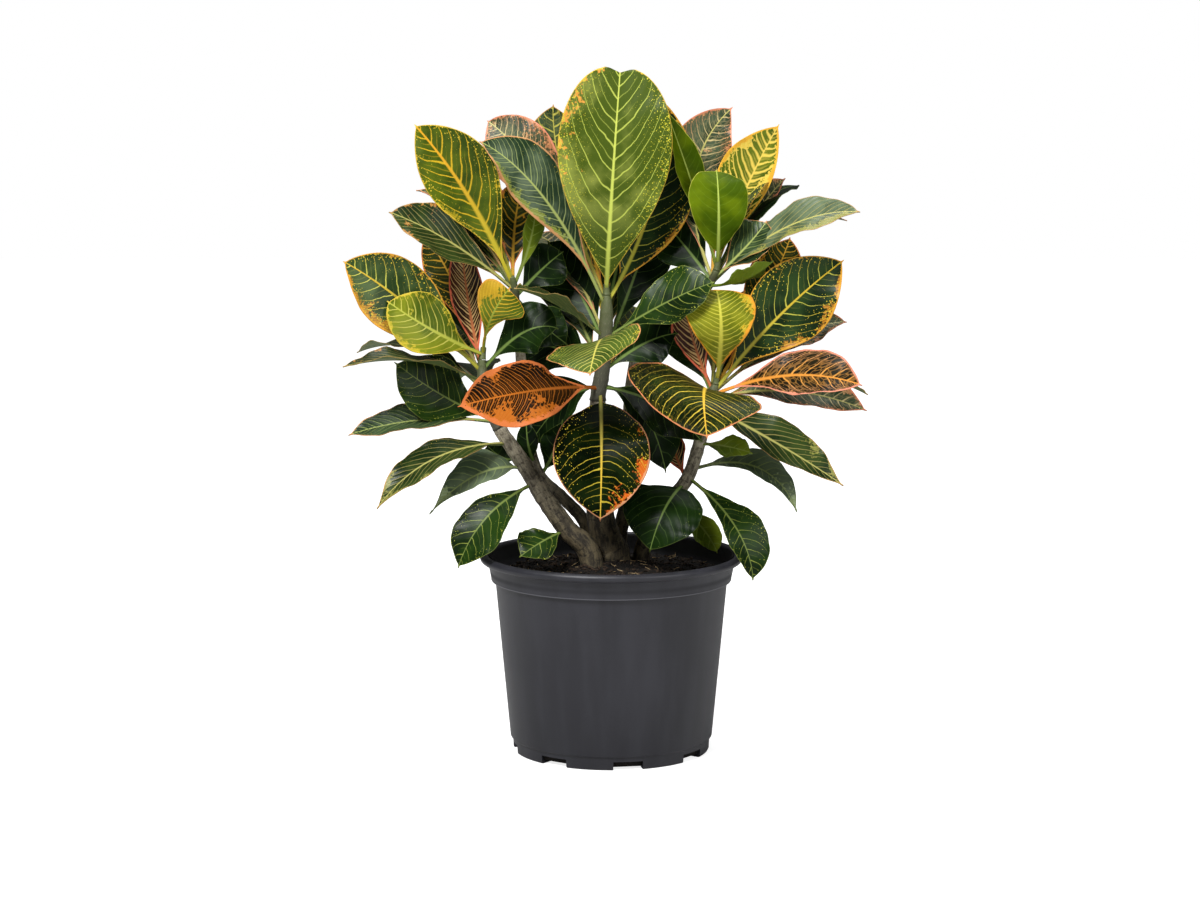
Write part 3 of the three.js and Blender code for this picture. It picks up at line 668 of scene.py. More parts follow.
LEAF_FINISHES = {
    K.BRIGHT: LeafFinish(
        dark=(0.055, 0.085, 0.008), light=(0.2, 0.235, 0.042), vein=(0.44, 0.5, 0.085), rib=(0.5, 0.56, 0.1),
        margin=(0.62, 0.42, 0.05), under=(0.2, 0.3, 0.07), blotch=(0.68, 0.3, 0.05), speck=(0.55, 0.5, 0.04),
        base_light=0.7, base_dark=1.0, pitch=17.0, lean=0.62, vein_width=0.5, second=0.5, comb=0.0, beads=0.1,
        rib_width=1.5, margin_width=0.6, blotch_size=8.0, blotch_amount=0.03, blotch_edge=0.36,
        blotch_tip=0.12, blotch_side=-0.08, blotch_share=0.9, speck_size=1.1, speck_amount=0.8, gloss=0.1,
    ),
    K.YOUNG: LeafFinish(
        dark=(0.062, 0.1, 0.005), light=(0.185, 0.215, 0.012), vein=(0.55, 0.52, 0.1), rib=(0.42, 0.44, 0.06),
        margin=(0.55, 0.42, 0.04), under=(0.22, 0.3, 0.06), vein_edge=(0.62, 0.44, 0.05),
        blotch=(0.45, 0.38, 0.02), pitch=7.5, lean=0.55, beads=0.1, rib_width=1.4, blotch_amount=0.22,
        blotch_tip=0.14, blotch_share=0.7,
    ),
    K.STRIPED_YOUNG: LeafFinish(
        dark=(0.06, 0.1, 0.008), light=(0.14, 0.19, 0.015), vein=(0.66, 0.42, 0.03), rib=(0.35, 0.4, 0.05),
        margin=(0.66, 0.34, 0.04), under=(0.2, 0.26, 0.05), blotch=(0.6, 0.33, 0.02), pitch=4.5,
        vein_width=0.5, blotch_amount=0.24, blotch_tip=0.1, blotch_side=-0.3,
    ),
    K.EDGED_YOUNG: LeafFinish(
        dark=(0.095, 0.12, 0.005), light=(0.215, 0.225, 0.012), vein=(0.5, 0.46, 0.05), rib=(0.5, 0.47, 0.06),
        margin=(0.7, 0.3, 0.025), under=(0.22, 0.28, 0.05), blotch=(0.6, 0.33, 0.015), pitch=4.6, lean=0.35,
        bow=0.01, vein_width=0.36, second=0.0, beads=0.0, rib_width=1.7, margin_width=1.6, blotch_amount=0.2,
        blotch_edge=0.22, blotch_tip=0.12, blotch_side=0.14,
    ),
    K.PLAIN_YOUNG: LeafFinish(
        dark=(0.04, 0.075, 0.001), light=(0.09, 0.135, 0.002), vein=(0.2, 0.32, 0.03), rib=(0.34, 0.42, 0.08),
        margin=(0.35, 0.36, 0.05), under=(0.2, 0.3, 0.06), vein_width=0.3, vein_share=0.2, margin_width=0.5,
        roughness=0.42, gloss=0.03,
    ),
    K.GOLD: LeafFinish(
        dark=(0.005, 0.016, 0.003), light=(0.02, 0.046, 0.01), vein=(0.52, 0.5, 0.07), rib=(0.42, 0.4, 0.05),
        margin=(0.62, 0.3, 0.03), rib_tip=(0.6, 0.4, 0.03), vein_edge=(0.62, 0.38, 0.03),
        blotch=(0.62, 0.23, 0.02), pitch=12.0, vein_width=0.32, comb=1.0, beads=0.85, rib_width=1.3,
        margin_width=1.2, blotch_amount=0.08, blotch_edge=0.38, blotch_tip=0.16, blotch_side=0.12,
        blotch_share=0.55, speck_amount=0.8, gloss=0.16,
    ),
    K.BROAD_GOLD: LeafFinish(
        dark=(0.03, 0.055, 0.003), light=(0.085, 0.12, 0.006), vein=(0.66, 0.42, 0.02), rib=(0.5, 0.42, 0.03),
        margin=(0.62, 0.42, 0.04), rib_tip=(0.68, 0.34, 0.02), blotch=(0.45, 0.34, 0.015), pitch=13.0,
        lean=0.85, vein_width=0.62, second=0.3, rib_width=2.0, blotch_amount=0.18, blotch_edge=0.3,
        blotch_side=-0.1, blotch_share=0.5, speck_amount=0.7,
    ),
    K.THIN: LeafFinish(
        dark=(0.004, 0.013, 0.002), light=(0.014, 0.038, 0.004), vein=(0.32, 0.37, 0.065),
        rib=(0.15, 0.2, 0.045), margin=(0.16, 0.2, 0.04), speck=(0.4, 0.42, 0.06), base_fade=0.3, pitch=10.5,
        vein_width=0.24, vein_share=0.8, second=0.25, rib_width=0.9, margin_width=0.5, speck_amount=0.5,
    ),
    K.SPECKLED: LeafFinish(
        dark=(0.015, 0.035, 0.014), light=(0.06, 0.095, 0.045), vein=(0.62, 0.56, 0.1), rib=(0.5, 0.45, 0.09),
        blotch=(0.42, 0.36, 0.05), pitch=12.0, vein_width=0.6, net_share=0.1, blotch_amount=0.14,
        blotch_edge=0.3, blotch_share=0.5, speck_size=1.7, speck_amount=1.0,
    ),
    K.COMB: LeafFinish(
        dark=(0.006, 0.003, 0.001), light=(0.018, 0.008, 0.002), vein=(0.4, 0.12, 0.015),
        rib=(0.25, 0.07, 0.012), margin=(0.52, 0.145, 0.04), under=(0.4, 0.14, 0.03),
        rib_tip=(0.45, 0.13, 0.015), blotch=(0.42, 0.105, 0.01), speck=(0.6, 0.2, 0.02), base_fade=0.6,
        pitch=4.2, lean=0.35, second=0.5, beads=0.1, rib_width=1.3, margin_width=3.0, blotch_amount=0.22,
        blotch_edge=0.44, blotch_tip=0.16, blotch_side=-0.12, blotch_share=0.95, ragged=0.7, speck_amount=0.4,
        gloss=0.05,
    ),
    K.LACE: LeafFinish(
        dark=(0.004, 0.004, 0.0012), light=(0.014, 0.011, 0.003), vein=(0.72, 0.32, 0.06),
        rib=(0.66, 0.26, 0.04), margin=(0.66, 0.24, 0.15), vein_edge=(0.7, 0.33, 0.14),
        blotch=(0.6, 0.19, 0.06), speck=(0.66, 0.3, 0.05), pitch=12.0, vein_width=0.44, second=0.2, beads=0.8,
        net_share=0.28, rib_width=1.6, margin_width=2.2, blotch_amount=0.04, blotch_edge=0.3, blotch_side=0.2,
        blotch_share=0.7, speck_amount=0.5, gloss=0.08,
    ),
    K.EMBER: LeafFinish(
        dark=(0.01, 0.018, 0.004), light=(0.03, 0.045, 0.01), vein=(0.6, 0.33, 0.03), rib=(0.62, 0.34, 0.04),
        margin=(0.66, 0.22, 0.06), blotch=(0.62, 0.2, 0.015), speck=(0.66, 0.38, 0.03), pitch=7.5,
        vein_width=0.55, margin_width=1.5, blotch_amount=0.18, blotch_edge=0.34, speck_amount=0.9,
    ),
    K.PINK: LeafFinish(
        dark=(0.022, 0.04, 0.018), light=(0.075, 0.105, 0.055), vein=(0.6, 0.48, 0.22), rib=(0.5, 0.46, 0.14),
        margin=(0.66, 0.24, 0.13), vein_edge=(0.62, 0.26, 0.12), blotch=(0.58, 0.22, 0.09),
        speck=(0.6, 0.34, 0.12), base_fade=0.2, pitch=8.0, vein_width=0.4, net_share=0.15, blotch_amount=0.2,
        blotch_edge=0.26, blotch_tip=0.2, blotch_share=0.6, speck_amount=0.7,
    ),
    K.RED: LeafFinish(
        dark=(0.014, 0.005, 0.0035), light=(0.07, 0.018, 0.009), vein=(0.75, 0.5, 0.2), rib=(0.5, 0.16, 0.06),
        margin=(0.66, 0.14, 0.07), under=(0.22, 0.08, 0.05), pitch=6.5, lean=1.1, vein_width=0.6, second=0.8,
        beads=0.2, margin_width=2.2,
    ),
    K.PLAIN: LeafFinish(
        dark=(0.002, 0.007, 0.0015), light=(0.008, 0.022, 0.003), vein=(0.1, 0.17, 0.04),
        rib=(0.14, 0.21, 0.05), margin=(0.07, 0.1, 0.02), speck=(0.2, 0.24, 0.05), pitch=11.0,
        vein_width=0.34, vein_share=0.35, margin_width=0.4, speck_amount=0.3, gloss=0.08,
    ),
    K.OLIVE: LeafFinish(
        dark=(0.075, 0.12, 0.006), light=(0.16, 0.21, 0.01), vein=(0.2, 0.27, 0.05), rib=(0.22, 0.28, 0.06),
        margin=(0.16, 0.2, 0.03), under=(0.17, 0.25, 0.02), vein_width=0.34, margin_width=0.4,
    ),
    K.STREAK: LeafFinish(
        dark=(0.008, 0.02, 0.004), light=(0.028, 0.05, 0.01), vein=(0.38, 0.32, 0.1), rib=(0.4, 0.38, 0.11),
        margin=(0.4, 0.24, 0.08), blotch=(0.24, 0.25, 0.05), pitch=10.0, lean=1.7, vein_width=0.36,
        vein_share=0.55, second=0.1, beads=0.3, margin_width=0.5, blotch_amount=0.06, blotch_edge=0.2,
        blotch_tip=0.4, blotch_side=-0.06, blotch_share=0.7, speck_amount=0.25, roughness=0.3, gloss=0.14,
    ),
    K.GREY: LeafFinish(
        dark=(0.01, 0.024, 0.008), light=(0.042, 0.072, 0.028), vein=(0.26, 0.32, 0.09),
        rib=(0.33, 0.38, 0.11), margin=(0.5, 0.25, 0.1), pitch=7.5, lean=1.0, vein_width=0.3, vein_share=0.7,
        second=0.3, beads=0.3, margin_width=1.0, speck_amount=0.3, roughness=0.3, gloss=0.18,
    ),
    K.PALE: LeafFinish(
        dark=(0.06, 0.09, 0.05), light=(0.13, 0.17, 0.1), vein=(0.25, 0.32, 0.12), rib=(0.28, 0.34, 0.13),
        margin=(0.2, 0.26, 0.1), blotch=(0.38, 0.46, 0.26), pitch=8.0, vein_width=0.36, second=0.2,
        margin_width=0.4, blotch_amount=-0.1, blotch_edge=0.0, blotch_tip=0.9, roughness=0.42, gloss=0.15,
    ),
    K.YELLOW: LeafFinish(
        dark=(0.04, 0.08, 0.006), light=(0.12, 0.16, 0.01), vein=(0.82, 0.6, 0.1), rib=(0.8, 0.58, 0.1),
        margin=(0.78, 0.42, 0.04), under=(0.35, 0.33, 0.05), blotch=(0.78, 0.55, 0.06), pitch=7.0, lean=0.5,
        vein_width=1.05, second=0.3, beads=0.0, margin_width=2.2, blotch_amount=0.3, blotch_edge=0.3,
        blotch_tip=0.06, blotch_share=0.95,
    ),
    K.FRONT: LeafFinish(
        dark=(0.0008, 0.003, 0.0004), light=(0.006, 0.014, 0.0018), vein=(0.68, 0.52, 0.05),
        rib=(0.3, 0.28, 0.07), margin=(0.6, 0.27, 0.13), rib_tip=(0.75, 0.5, 0.05),
        vein_edge=(0.62, 0.42, 0.04), blotch=(0.72, 0.13, 0.015), base_fade=0.95, pitch=11.0, lean=0.08,
        bow=0.016, vein_width=0.31, vein_share=0.8, second=0.35, beads=1.0, rib_width=1.2, margin_width=1.1,
        blotch_amount=-0.02, blotch_edge=0.22, blotch_tip=0.34, blotch_side=-0.26, speck_amount=0.7,
        gloss=0.035,
    ),
    K.NETTED: LeafFinish(
        dark=(0.003, 0.008, 0.0015), light=(0.011, 0.024, 0.003), vein=(0.72, 0.53, 0.06),
        rib=(0.68, 0.48, 0.05), margin=(0.62, 0.23, 0.09), rib_tip=(0.68, 0.4, 0.04), blotch=(0.6, 0.3, 0.03),
        base_fade=0.8, pitch=10.0, lean=0.8, bow=0.004, vein_width=0.33, second=0.4, beads=0.8,
        net_share=0.04, rib_width=1.5, margin_width=1.7, blotch_amount=0.02, blotch_edge=0.3, blotch_tip=0.12,
        blotch_share=0.35, speck_amount=0.45, gloss=0.08,
    ),
    K.DENSE: LeafFinish(
        dark=(0.022, 0.05, 0.006), light=(0.07, 0.112, 0.015), vein=(0.52, 0.48, 0.11), rib=(0.55, 0.5, 0.1),
        margin=(0.64, 0.28, 0.1), blotch=(0.5, 0.4, 0.06), pitch=7.0, lean=0.8, vein_width=0.4, second=0.2,
        rib_width=1.3, margin_width=1.3, blotch_amount=0.12, blotch_share=0.5, speck_amount=0.7,
    ),
}
# The looks that differ a little from one of those.
LEAF_FINISHES |= {
    K.LOW_GOLD: replace(
        LEAF_FINISHES[K.GOLD], dark=(0.018, 0.04, 0.008), light=(0.065, 0.105, 0.03), vein=(0.62, 0.6, 0.1),
        vein_width=0.42, blotch_amount=0.12, blotch_side=-0.16,
    ),
    # Painted sheen: the pale grey-green light colour is partly a painted reflection, over the leaf's own
    # grey-green.
    K.SILVER: replace(
        LEAF_FINISHES[K.GREY], dark=(0.014, 0.032, 0.013), light=(0.085, 0.12, 0.068),
        vein=(0.36, 0.42, 0.15), blotch=(0.2, 0.23, 0.02), margin_width=1.5, blotch_amount=0.25,
        blotch_edge=0.1, blotch_tip=-0.2, blotch_side=-0.5, gloss=0.1,
    ),
    K.CURLED: replace(
        LEAF_FINISHES[K.STREAK], blotch=(0.5, 0.18, 0.04), blotch_side=0.0, blotch_share=0.8,
    ),
    K.OLIVE_STREAK: replace(
        LEAF_FINISHES[K.STREAK], dark=(0.035, 0.06, 0.028), light=(0.11, 0.15, 0.08), blotch_amount=0.1,
        blotch_side=0.3,
    ),
}


@dataclass(frozen=True)
class BarkFinish:
    """Grey-brown ringed bark with cracks along the stem, browner and greener near the soil."""

    pale: Colour = (0.4, 0.36, 0.26)
    dark: Colour = (0.085, 0.07, 0.048)
    low: Colour = (0.095, 0.07, 0.032)
    low_dark: Colour = (0.013, 0.01, 0.006)
    low_z: tuple[float, float] = (0.17, 0.27)
    low_share: float = 0.9
    ring_gap: float = 7.0
    ring_sway: float = 7.0
    ring_shade: float = -0.1
    patch_share: float = 0.6
    grain_share: float = 0.35
    bump: tuple[float, float] = (0.9, 0.0014)

    def material(self, name: str) -> Material:
        """Make the bark's material.

        Args:
            name: the material's name.

        Returns:
            The material.
        """
        made, g, shader = start_material(name, Specular_IOR_Level=0.3)
        along, around, radius = g.split(g.attribute("stem"))
        position = g.position()
        spot = g.vector(along, around, radius)
        wide = g.vector(g.mul(along, 0.09), g.mul(around, 0.16))
        patches = g.noise(wide, scale=1.0, detail=5.0, rough=0.62)
        turn = g.div(g.add(along, g.sway(spot, 0.14, self.ring_sway)), self.ring_gap)
        groove = g.size(g.sub(g.math("FRACT", turn), 0.5))
        groove = g.ramp(groove, 0.02, 0.13, 1.0, 0.0)
        groove = g.mul(groove, g.ramp(g.noise(spot, scale=0.3), 0.42, 0.6))
        narrow = g.vector(g.mul(along, 0.12), g.mul(around, 0.5))
        cracks = g.noise(narrow, scale=1.1, detail=4.0, rough=0.6)
        grain = g.group(GROUPS.grain, Vector=position, Coarse=150.0, Fine=1100.0, Share=0.5)[0]
        shade = g.add(g.mul(patches, self.patch_share), g.mul(cracks, 1 - self.patch_share))
        shade = g.madd(g.sub(grain, 0.5), self.grain_share, shade)
        shade = g.madd(groove, self.ring_shade, shade)
        colour = g.mix(g.ramp(shade, 0.36, 0.64), self.dark, self.pale)
        low = g.ramp(g.split(position)[2], *self.low_z, self.low_share, 0.0)
        colour = g.mix(low, colour, g.mix(g.ramp(shade, 0.4, 0.62), self.low_dark, self.low))
        g.feed(shader.inputs["Base Color"], colour)
        g.feed(shader.inputs["Roughness"], g.madd(grain, 0.25, 0.6))
        add_bump(g, shader, shade, *self.bump)
        return made


@dataclass(frozen=True)
class ShootFinish:
    """Green shoot, grey-green where it joins the bark, with pale leaf scars."""

    old: Colour = (0.06, 0.058, 0.038)
    young: Colour = (0.09, 0.11, 0.035)
    scar: Colour = (0.17, 0.16, 0.1)
    bump: tuple[float, float] = (0.6, 0.0006)

    def material(self, name: str) -> Material:
        """Make the shoot's material.

        Args:
            name: the material's name.

        Returns:
            The material.
        """
        made, g, shader = start_material(name, Specular_IOR_Level=0.4)
        along, around, share = g.split(g.attribute("stem"))
        spot = g.vector(g.mul(along, 0.25), g.mul(around, 1.4))
        marks = g.noise(spot, scale=1.3, detail=3.0)
        colour = g.mix(g.ramp(share, 0.1, 0.9), self.old, self.young)
        colour = g.mix(g.ramp(marks, 0.55, 0.7, 0.0, 0.7), colour, self.scar)
        g.feed(shader.inputs["Base Color"], colour)
        g.feed(shader.inputs["Roughness"], g.madd(marks, 0.2, 0.42))
        add_bump(g, shader, marks, *self.bump)
        return made


@dataclass(frozen=True)
class PotFinish:
    """Charcoal moulded plastic with flow marks, fine grain, a little pale dust, painted shade inside the rim
    and a painted highlight under the collar.
    """

    base: Colour = (0.016, 0.016, 0.021)
    worn: Colour = (0.025, 0.025, 0.032)
    dust: Colour = (0.35, 0.34, 0.33)
    # Painted shade: near black for the inner wall above the soil, where shade falls inside the rim.
    inside: Colour = (0.0015, 0.0015, 0.0017)
    # Painted highlight: the pale grey of a thin band along the collar's lower edge, where that edge catches
    # the light.
    edge: Colour = (0.13, 0.13, 0.145)
    lip_inner: float = 0.0992
    highlight_z: float = 0.1408
    highlight_half: float = 0.0005
    highlight_away: tuple[float, float] = (0.094, 0.0955)
    inner_shade_z: tuple[float, float] = (0.143, 0.15)
    dot_scale: float = 95.0
    dot_size: float = 0.055
    dot_share: float = 0.6
    bump: tuple[float, float] = (0.25, 0.0004)

    def material(self, name: str) -> Material:
        """Make the pot's material.

        Args:
            name: the material's name.

        Returns:
            The material.
        """
        made, g, shader = start_material(name, Specular_IOR_Level=0.45)
        position = g.position()
        x, y, z = g.split(position)
        streak = g.noise(g.vector(x, y, g.mul(z, 0.12)), scale=60.0, detail=3.0)
        grain = g.group(GROUPS.grain, Vector=position, Coarse=14.0, Fine=1400.0, Share=0.35)[0]
        colour = g.mix(g.ramp(g.add(streak, g.sub(grain, 0.5)), 0.3, 0.75), self.base, self.worn)
        dots = g.cells(position, self.dot_scale)
        chance = g.split(dots["Color"])[0]
        size = g.ramp(chance, 0.9, 1.0, 0.0, self.dot_size)
        speck = g.ramp(dots["Distance"], size, g.add(size, 0.02), 1.0, 0.0)
        colour = g.mix(g.mul(speck, g.ramp(chance, 0.9, 0.93), self.dot_share), colour, self.dust)
        away = g.math("SQRT", g.add(g.mul(x, x), g.mul(y, y)))
        # Painted shade on the inner wall above the soil, which is also made rougher there.
        within = g.ramp(away, self.lip_inner - MM, self.lip_inner, 1.0, 0.0)
        shaded_inside = g.mul(within, g.ramp(z, *self.inner_shade_z))
        colour = g.mix(shaded_inside, colour, self.inside)
        # Painted highlight: a thin pale band round the outside at the collar's lower edge.
        from_edge = g.size(g.sub(z, self.highlight_z))
        edge_highlight = g.ramp(from_edge, self.highlight_half * 0.5, self.highlight_half, 0.6, 0.0)
        colour = g.mix(g.mul(edge_highlight, g.ramp(away, *self.highlight_away)), colour, self.edge)
        g.feed(shader.inputs["Base Color"], colour)
        g.feed(shader.inputs["Roughness"], g.madd(shaded_inside, 0.5, g.madd(grain, 0.2, 0.34)))
        add_bump(g, shader, grain, *self.bump)
        return made


@dataclass(frozen=True)
class EarthFinish:
    """Moist, dark, crumbly matter, from `dark` to `light`."""

    dark: Colour
    light: Colour
    coarse: float = 120.0
    fine: float = 900.0
    roughness: float = 0.85
    strength: float = 0.8
    depth: float = 0.003

    def material(self, name: str) -> Material:
        """Make the material.

        Args:
            name: the material's name.

        Returns:
            The material.
        """
        made, g, shader = start_material(name, Specular_IOR_Level=0.25)
        sizes = {"Coarse": self.coarse, "Fine": self.fine, "Share": 0.5}
        grain = g.group(GROUPS.grain, Vector=g.position(), **sizes)[0]
        g.feed(shader.inputs["Base Color"], g.mix(g.ramp(grain, 0.38, 0.66), self.dark, self.light))
        shader.inputs["Roughness"].default_value = self.roughness
        add_bump(g, shader, grain, self.strength, self.depth)
        return made


# ---- Mesh helpers ----


def turns(count: int) -> list[float]:
    """The directions of `count` points spread evenly round a circle, in radians."""
    return [2 * math.pi * i / count for i in range(count)]


def polar(radius: float, turn: float) -> tuple[float, float]:
    """The x and y of a point at a distance and a direction in radians."""
    return radius * math.cos(turn), radius * math.sin(turn)


def toward(heading: float, rise: float) -> Vector:
    """The unit vector at a heading and a rise above level, both in radians."""
    return Vector((*polar(math.cos(rise), heading), math.sin(rise)))


def add_object(name: str, data: bpy.types.ID | None) -> bpy.types.Object:
    """Put an object into the scene.

    Args:
        name: the object's name.
        data: its mesh, light or camera.

    Returns:
        The object.
    """
    made = bpy.data.objects.new(name, data)
    bpy.context.scene.collection.objects.link(made)
    return made


@dataclass
class Shape:
    """Points, faces and per-point values of a mesh in the making, in millimetres."""

    points: list[Vector] = field(default_factory=list)
    faces: list[tuple[int, ...]] = field(default_factory=list)
    slots: list[int] = field(default_factory=list)
    values: dict[str, dict[int, object]] = field(default_factory=dict)

    def add_point(self, point: Vector | Point, **values: object) -> int:
        """Add a point.

        Args:
            point: its place.
            **values: its named values.

        Returns:
            The point's number.
        """
        number = len(self.points)
        self.points.append(Vector(point))
        for key, value in values.items():
            self.values.setdefault(key, {})[number] = value
        return number

    def add_face(self, corners: tuple[int, ...], slot: int = 0) -> None:
        """Add a face with its material slot."""
        self.faces.append(corners)
        self.slots.append(slot)

    def add_rings(self, rings: list[list[int]], slot: int = 0, caps: bool = True) -> None:
        """Skin rings of points, each turning the same way.

        Args:
            rings: the point numbers of each ring.
            slot: the material slot of the faces.
            caps: close both ends with flat faces.
        """
        for low, high in zip(rings, rings[1:]):
            for j in range(len(low)):
                k = (j + 1) % len(low)
                self.add_face((low[j], low[k], high[k], high[j]), slot)
        if caps:
            self.add_face(tuple(reversed(rings[0])), slot)
            self.add_face(tuple(rings[-1]), slot)

    def piece(self, name: str, materials: list[Material], slot: str) -> bpy.types.Object:
        """Make the Blender object.

        Args:
            name: the object's name.
            materials: its materials, in the order of the face slots.
            slot: the name of a material slot; not used.

        Returns:
            The object, smooth, riding on the plant's body.
        """
        mesh = bpy.data.meshes.new(name)
        mesh.from_pydata([p * MM for p in self.points], [], self.faces)
        for material in materials:
            mesh.materials.append(material)
        mesh.polygons.foreach_set("material_index", self.slots)
        mesh.polygons.foreach_set("use_smooth", [True] * len(self.faces))
        for key, values in self.values.items():
            vector = isinstance(next(iter(values.values())), tuple)
            layer = mesh.attributes.new(key, "FLOAT_VECTOR" if vector else "FLOAT", "POINT")
            for number, value in values.items():
                if vector:
                    layer.data[number].vector = value
                else:
                    layer.data[number].value = value
        mesh.update()
        made = add_object(name, mesh)
        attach(made, BODY)
        log.info("%s: %d points", name, len(self.points))
        return made


class ParkRandom:
    """A random draw of values from 0 to 1, the same on every run and in the part's own source."""

    FACTOR = 16807
    MODULUS = 2147483647

    def __init__(self, seed: int) -> None:
        """Start from a seed, and pass over the first values."""
        self.state = seed * self.FACTOR**3 % self.MODULUS

    def draw(self) -> float:
        """Return the next value."""
        self.state = self.state * self.FACTOR % self.MODULUS
        return self.state / self.MODULUS


def smooth_line(points: list[tuple[float, ...]], steps: int) -> list[tuple[float, ...]]:
    """Follow a smooth line through points.

    Args:
        points: the points, each with the radius as fourth value.
        steps: the number of steps from one to the next.

    Returns:
        The points along the line, each with the radius as fourth value.
    """
    line = []
    last = len(points) - 1
    for i in range(last):
        around = [points[min(max(k, 0), last)] for k in (i - 1, i, i + 1, i + 2)]
        for j in range(steps):
            line.append(tuple(catmull_rom(j / steps, *values) for values in zip(*around)))
    line.append(tuple(float(v) for v in points[last]))
    return line


def catmull_rom(t: float, a: float, b: float, c: float, d: float) -> float:
    """The value at t from b to c, on the smooth curve through four values."""
    return (2 * b + (c - a) * t + (2 * a - 5 * b + 4 * c - d) * t**2 + (3 * b - a - 3 * c + d) * t**3) / 2


def lerp(low: float, high: float, share: float) -> float:
    """The value at a share of the way from low to high."""
    return low + (high - low) * share


# ---- Leaves ----


@dataclass(frozen=True)
class LeafForm:
    """Form of one blade: the same values as in the part's own source, and finer ones."""

    fold: float = 9.0
    peak: float = 0.6
    base: float = 1.0
    blunt: float = 0.8
    left: float = 1.0
    right: float = 1.0
    petiole: float = 0.12
    wave: float = 1.8
    waves: float = 2.5
    notch: float = 0.0
    point: float = 2.5


@dataclass
class Leaf:
    """One leaf: a stalk that widens into a folded blade with a waved margin."""

    root: Point
    middle: Point
    tip: Point
    look: Point
    width: float
    form: LeafForm
    phase: float
    number: float

    STEPS = 36
    TIP_CROWD = 1.4
    ACROSS = (0.0, 0.09, 0.22, 0.38, 0.55, 0.72, 0.87, 0.975, 1.0)
    STALK_HALF = 1.5
    STALK_THICK = 2.6
    STALK_RAISE = 0.9
    STALK_REACH = 1.9
    TIP_HALF = 0.15
    TIP_START = 0.9
    THICK = 0.5
    RIB_THICK = 0.9
    RIB_HALF = 1.3
    NOTCH_HALF = 5.5
    FLAT_HALF = 15.0
    SIDE_PHASE = 1.3
    RIPPLE = 0.5
    RIPPLE_TIMES = 3.1
    FAR_INWARD = 9.0
    STEP = 0.004

    def rib(self, t: float) -> tuple[Vector, Vector]:
        """Find a place on the rib.

        Args:
            t: the share of the way from the root to the tip.

        Returns:
            The rib's point and its direction.
        """
        root, middle, tip = Vector(self.root), Vector(self.middle), Vector(self.tip)
        bend = middle * 2 - (root + tip) / 2
        point = root * (1 - t) ** 2 + bend * 2 * t * (1 - t) + tip * t**2
        return point, ((bend - root) * (1 - t) + (tip - bend) * t).normalized()

    def half(self, s: float) -> float:
        """Find the width of the blade at a place.

        Args:
            s: the share of the way from the blade's base to its tip.

        Returns:
            The half width, as a share of the greatest.
        """
        if s <= 0:
            return 0.0
        rise = math.sin(math.pi * min(s, 1.0) ** (math.log(0.5) / math.log(self.form.peak)))
        return max(rise, 0.0) ** (self.form.base if s < self.form.peak else self.form.blunt)

    def station(self, t: float) -> tuple[Vector, Vector, Vector, float]:
        """Find the place across the leaf.

        Args:
            t: the share of the way from the root to the tip.

        Returns:
            The rib point, the side direction, the face direction and the blade share.
        """
        point, along = self.rib(t)
        up = Vector(self.look)
        up = (up - along * up.dot(along)).normalized()
        return point, along.cross(up), up, self.half((t - self.form.petiole) / (1 - self.form.petiole))

    def build(self, shape: Shape, slot: int) -> None:
        """Add the leaf's closed blade to a shape.

        Args:
            shape: the mesh in the making.
            slot: the material slot of this leaf's look.
        """
        form = self.form
        fold = math.radians(form.fold)
        length = math.dist(self.tip, self.middle) + math.dist(self.middle, self.root)
        last = len(self.ACROSS) - 1
        stations = [1 - (1 - i / self.STEPS) ** self.TIP_CROWD for i in range(self.STEPS + 1)]
        if form.point:
            stations.append(1 + form.point / length)
        rings = []
        for t in stations:
            centre, side, up, share = self.station(t)
            along = up.cross(side)
            stalk = max(0.0, 1 - t / (form.petiole * self.STALK_REACH))
            steep = self.station(t + self.STEP)[3] - self.station(t - self.STEP)[3]
            steep /= 2 * self.STEP * length
            tip_side = 0.3 * max(0.0, form.point - abs(1 - t) * length)
            drawn = max(0.0, (t - self.TIP_START) / (1 - self.TIP_START)) ** 2
            top: list[int] = []
            under: list[int] = []
            for j in range(-last, last + 1):
                v = math.copysign(self.ACROSS[abs(j)], j)
                side_share = form.right if v > 0 else form.left
                blade = self.width / 2 * side_share * share
                half = max(self.STALK_HALF if stalk else self.TIP_HALF, blade, tip_side)
                turn = 2 * math.pi * form.waves * t + self.phase + (self.SIDE_PHASE if v > 0 else 0)
                flat = min(1.0, half / self.FLAT_HALF)
                lift = form.wave * math.sin(turn) * flat
                ripple = self.RIPPLE * math.sin(self.RIPPLE_TIMES * turn + self.phase) * flat * abs(v) ** 3
                rise = abs(v) ** 1.15 * half * math.sin(fold) + lift * v * v + ripple
                spot = centre + side * (v * half * math.cos(fold)) + up * rise
                spot -= along * (form.notch * drawn * math.exp(-((v * half / self.NOTCH_HALF) ** 2)))
                rib_part = math.exp(-((v * half / self.RIB_HALF) ** 2))
                thick = self.THICK + (self.RIB_THICK - self.THICK * min(t, 1.0)) * rib_part
                round_off = math.sqrt(max(0.0, 1 - v * v))
                thick = lerp(thick, self.STALK_THICK * round_off + 0.2, stalk)
                inward = (1 - abs(v)) * half / math.hypot(1.0, self.width / 2 * side_share * steep)
                inward = min(inward, (1 - t) * length + form.notch) if t > form.petiole else self.FAR_INWARD
                values = {"blade": (v * half, t * length, inward), "place": (v, t, self.number)}
                raise_top = self.STALK_RAISE * round_off * stalk
                top.append(shape.add_point(spot + up * raise_top, under=0.0, **values))
                if abs(j) < last:
                    low = spot + up * (raise_top - thick)
                    under.append(shape.add_point(low, under=1.0, **values))
            rings.append(top + under[::-1])
        shape.add_rings(rings, slot)


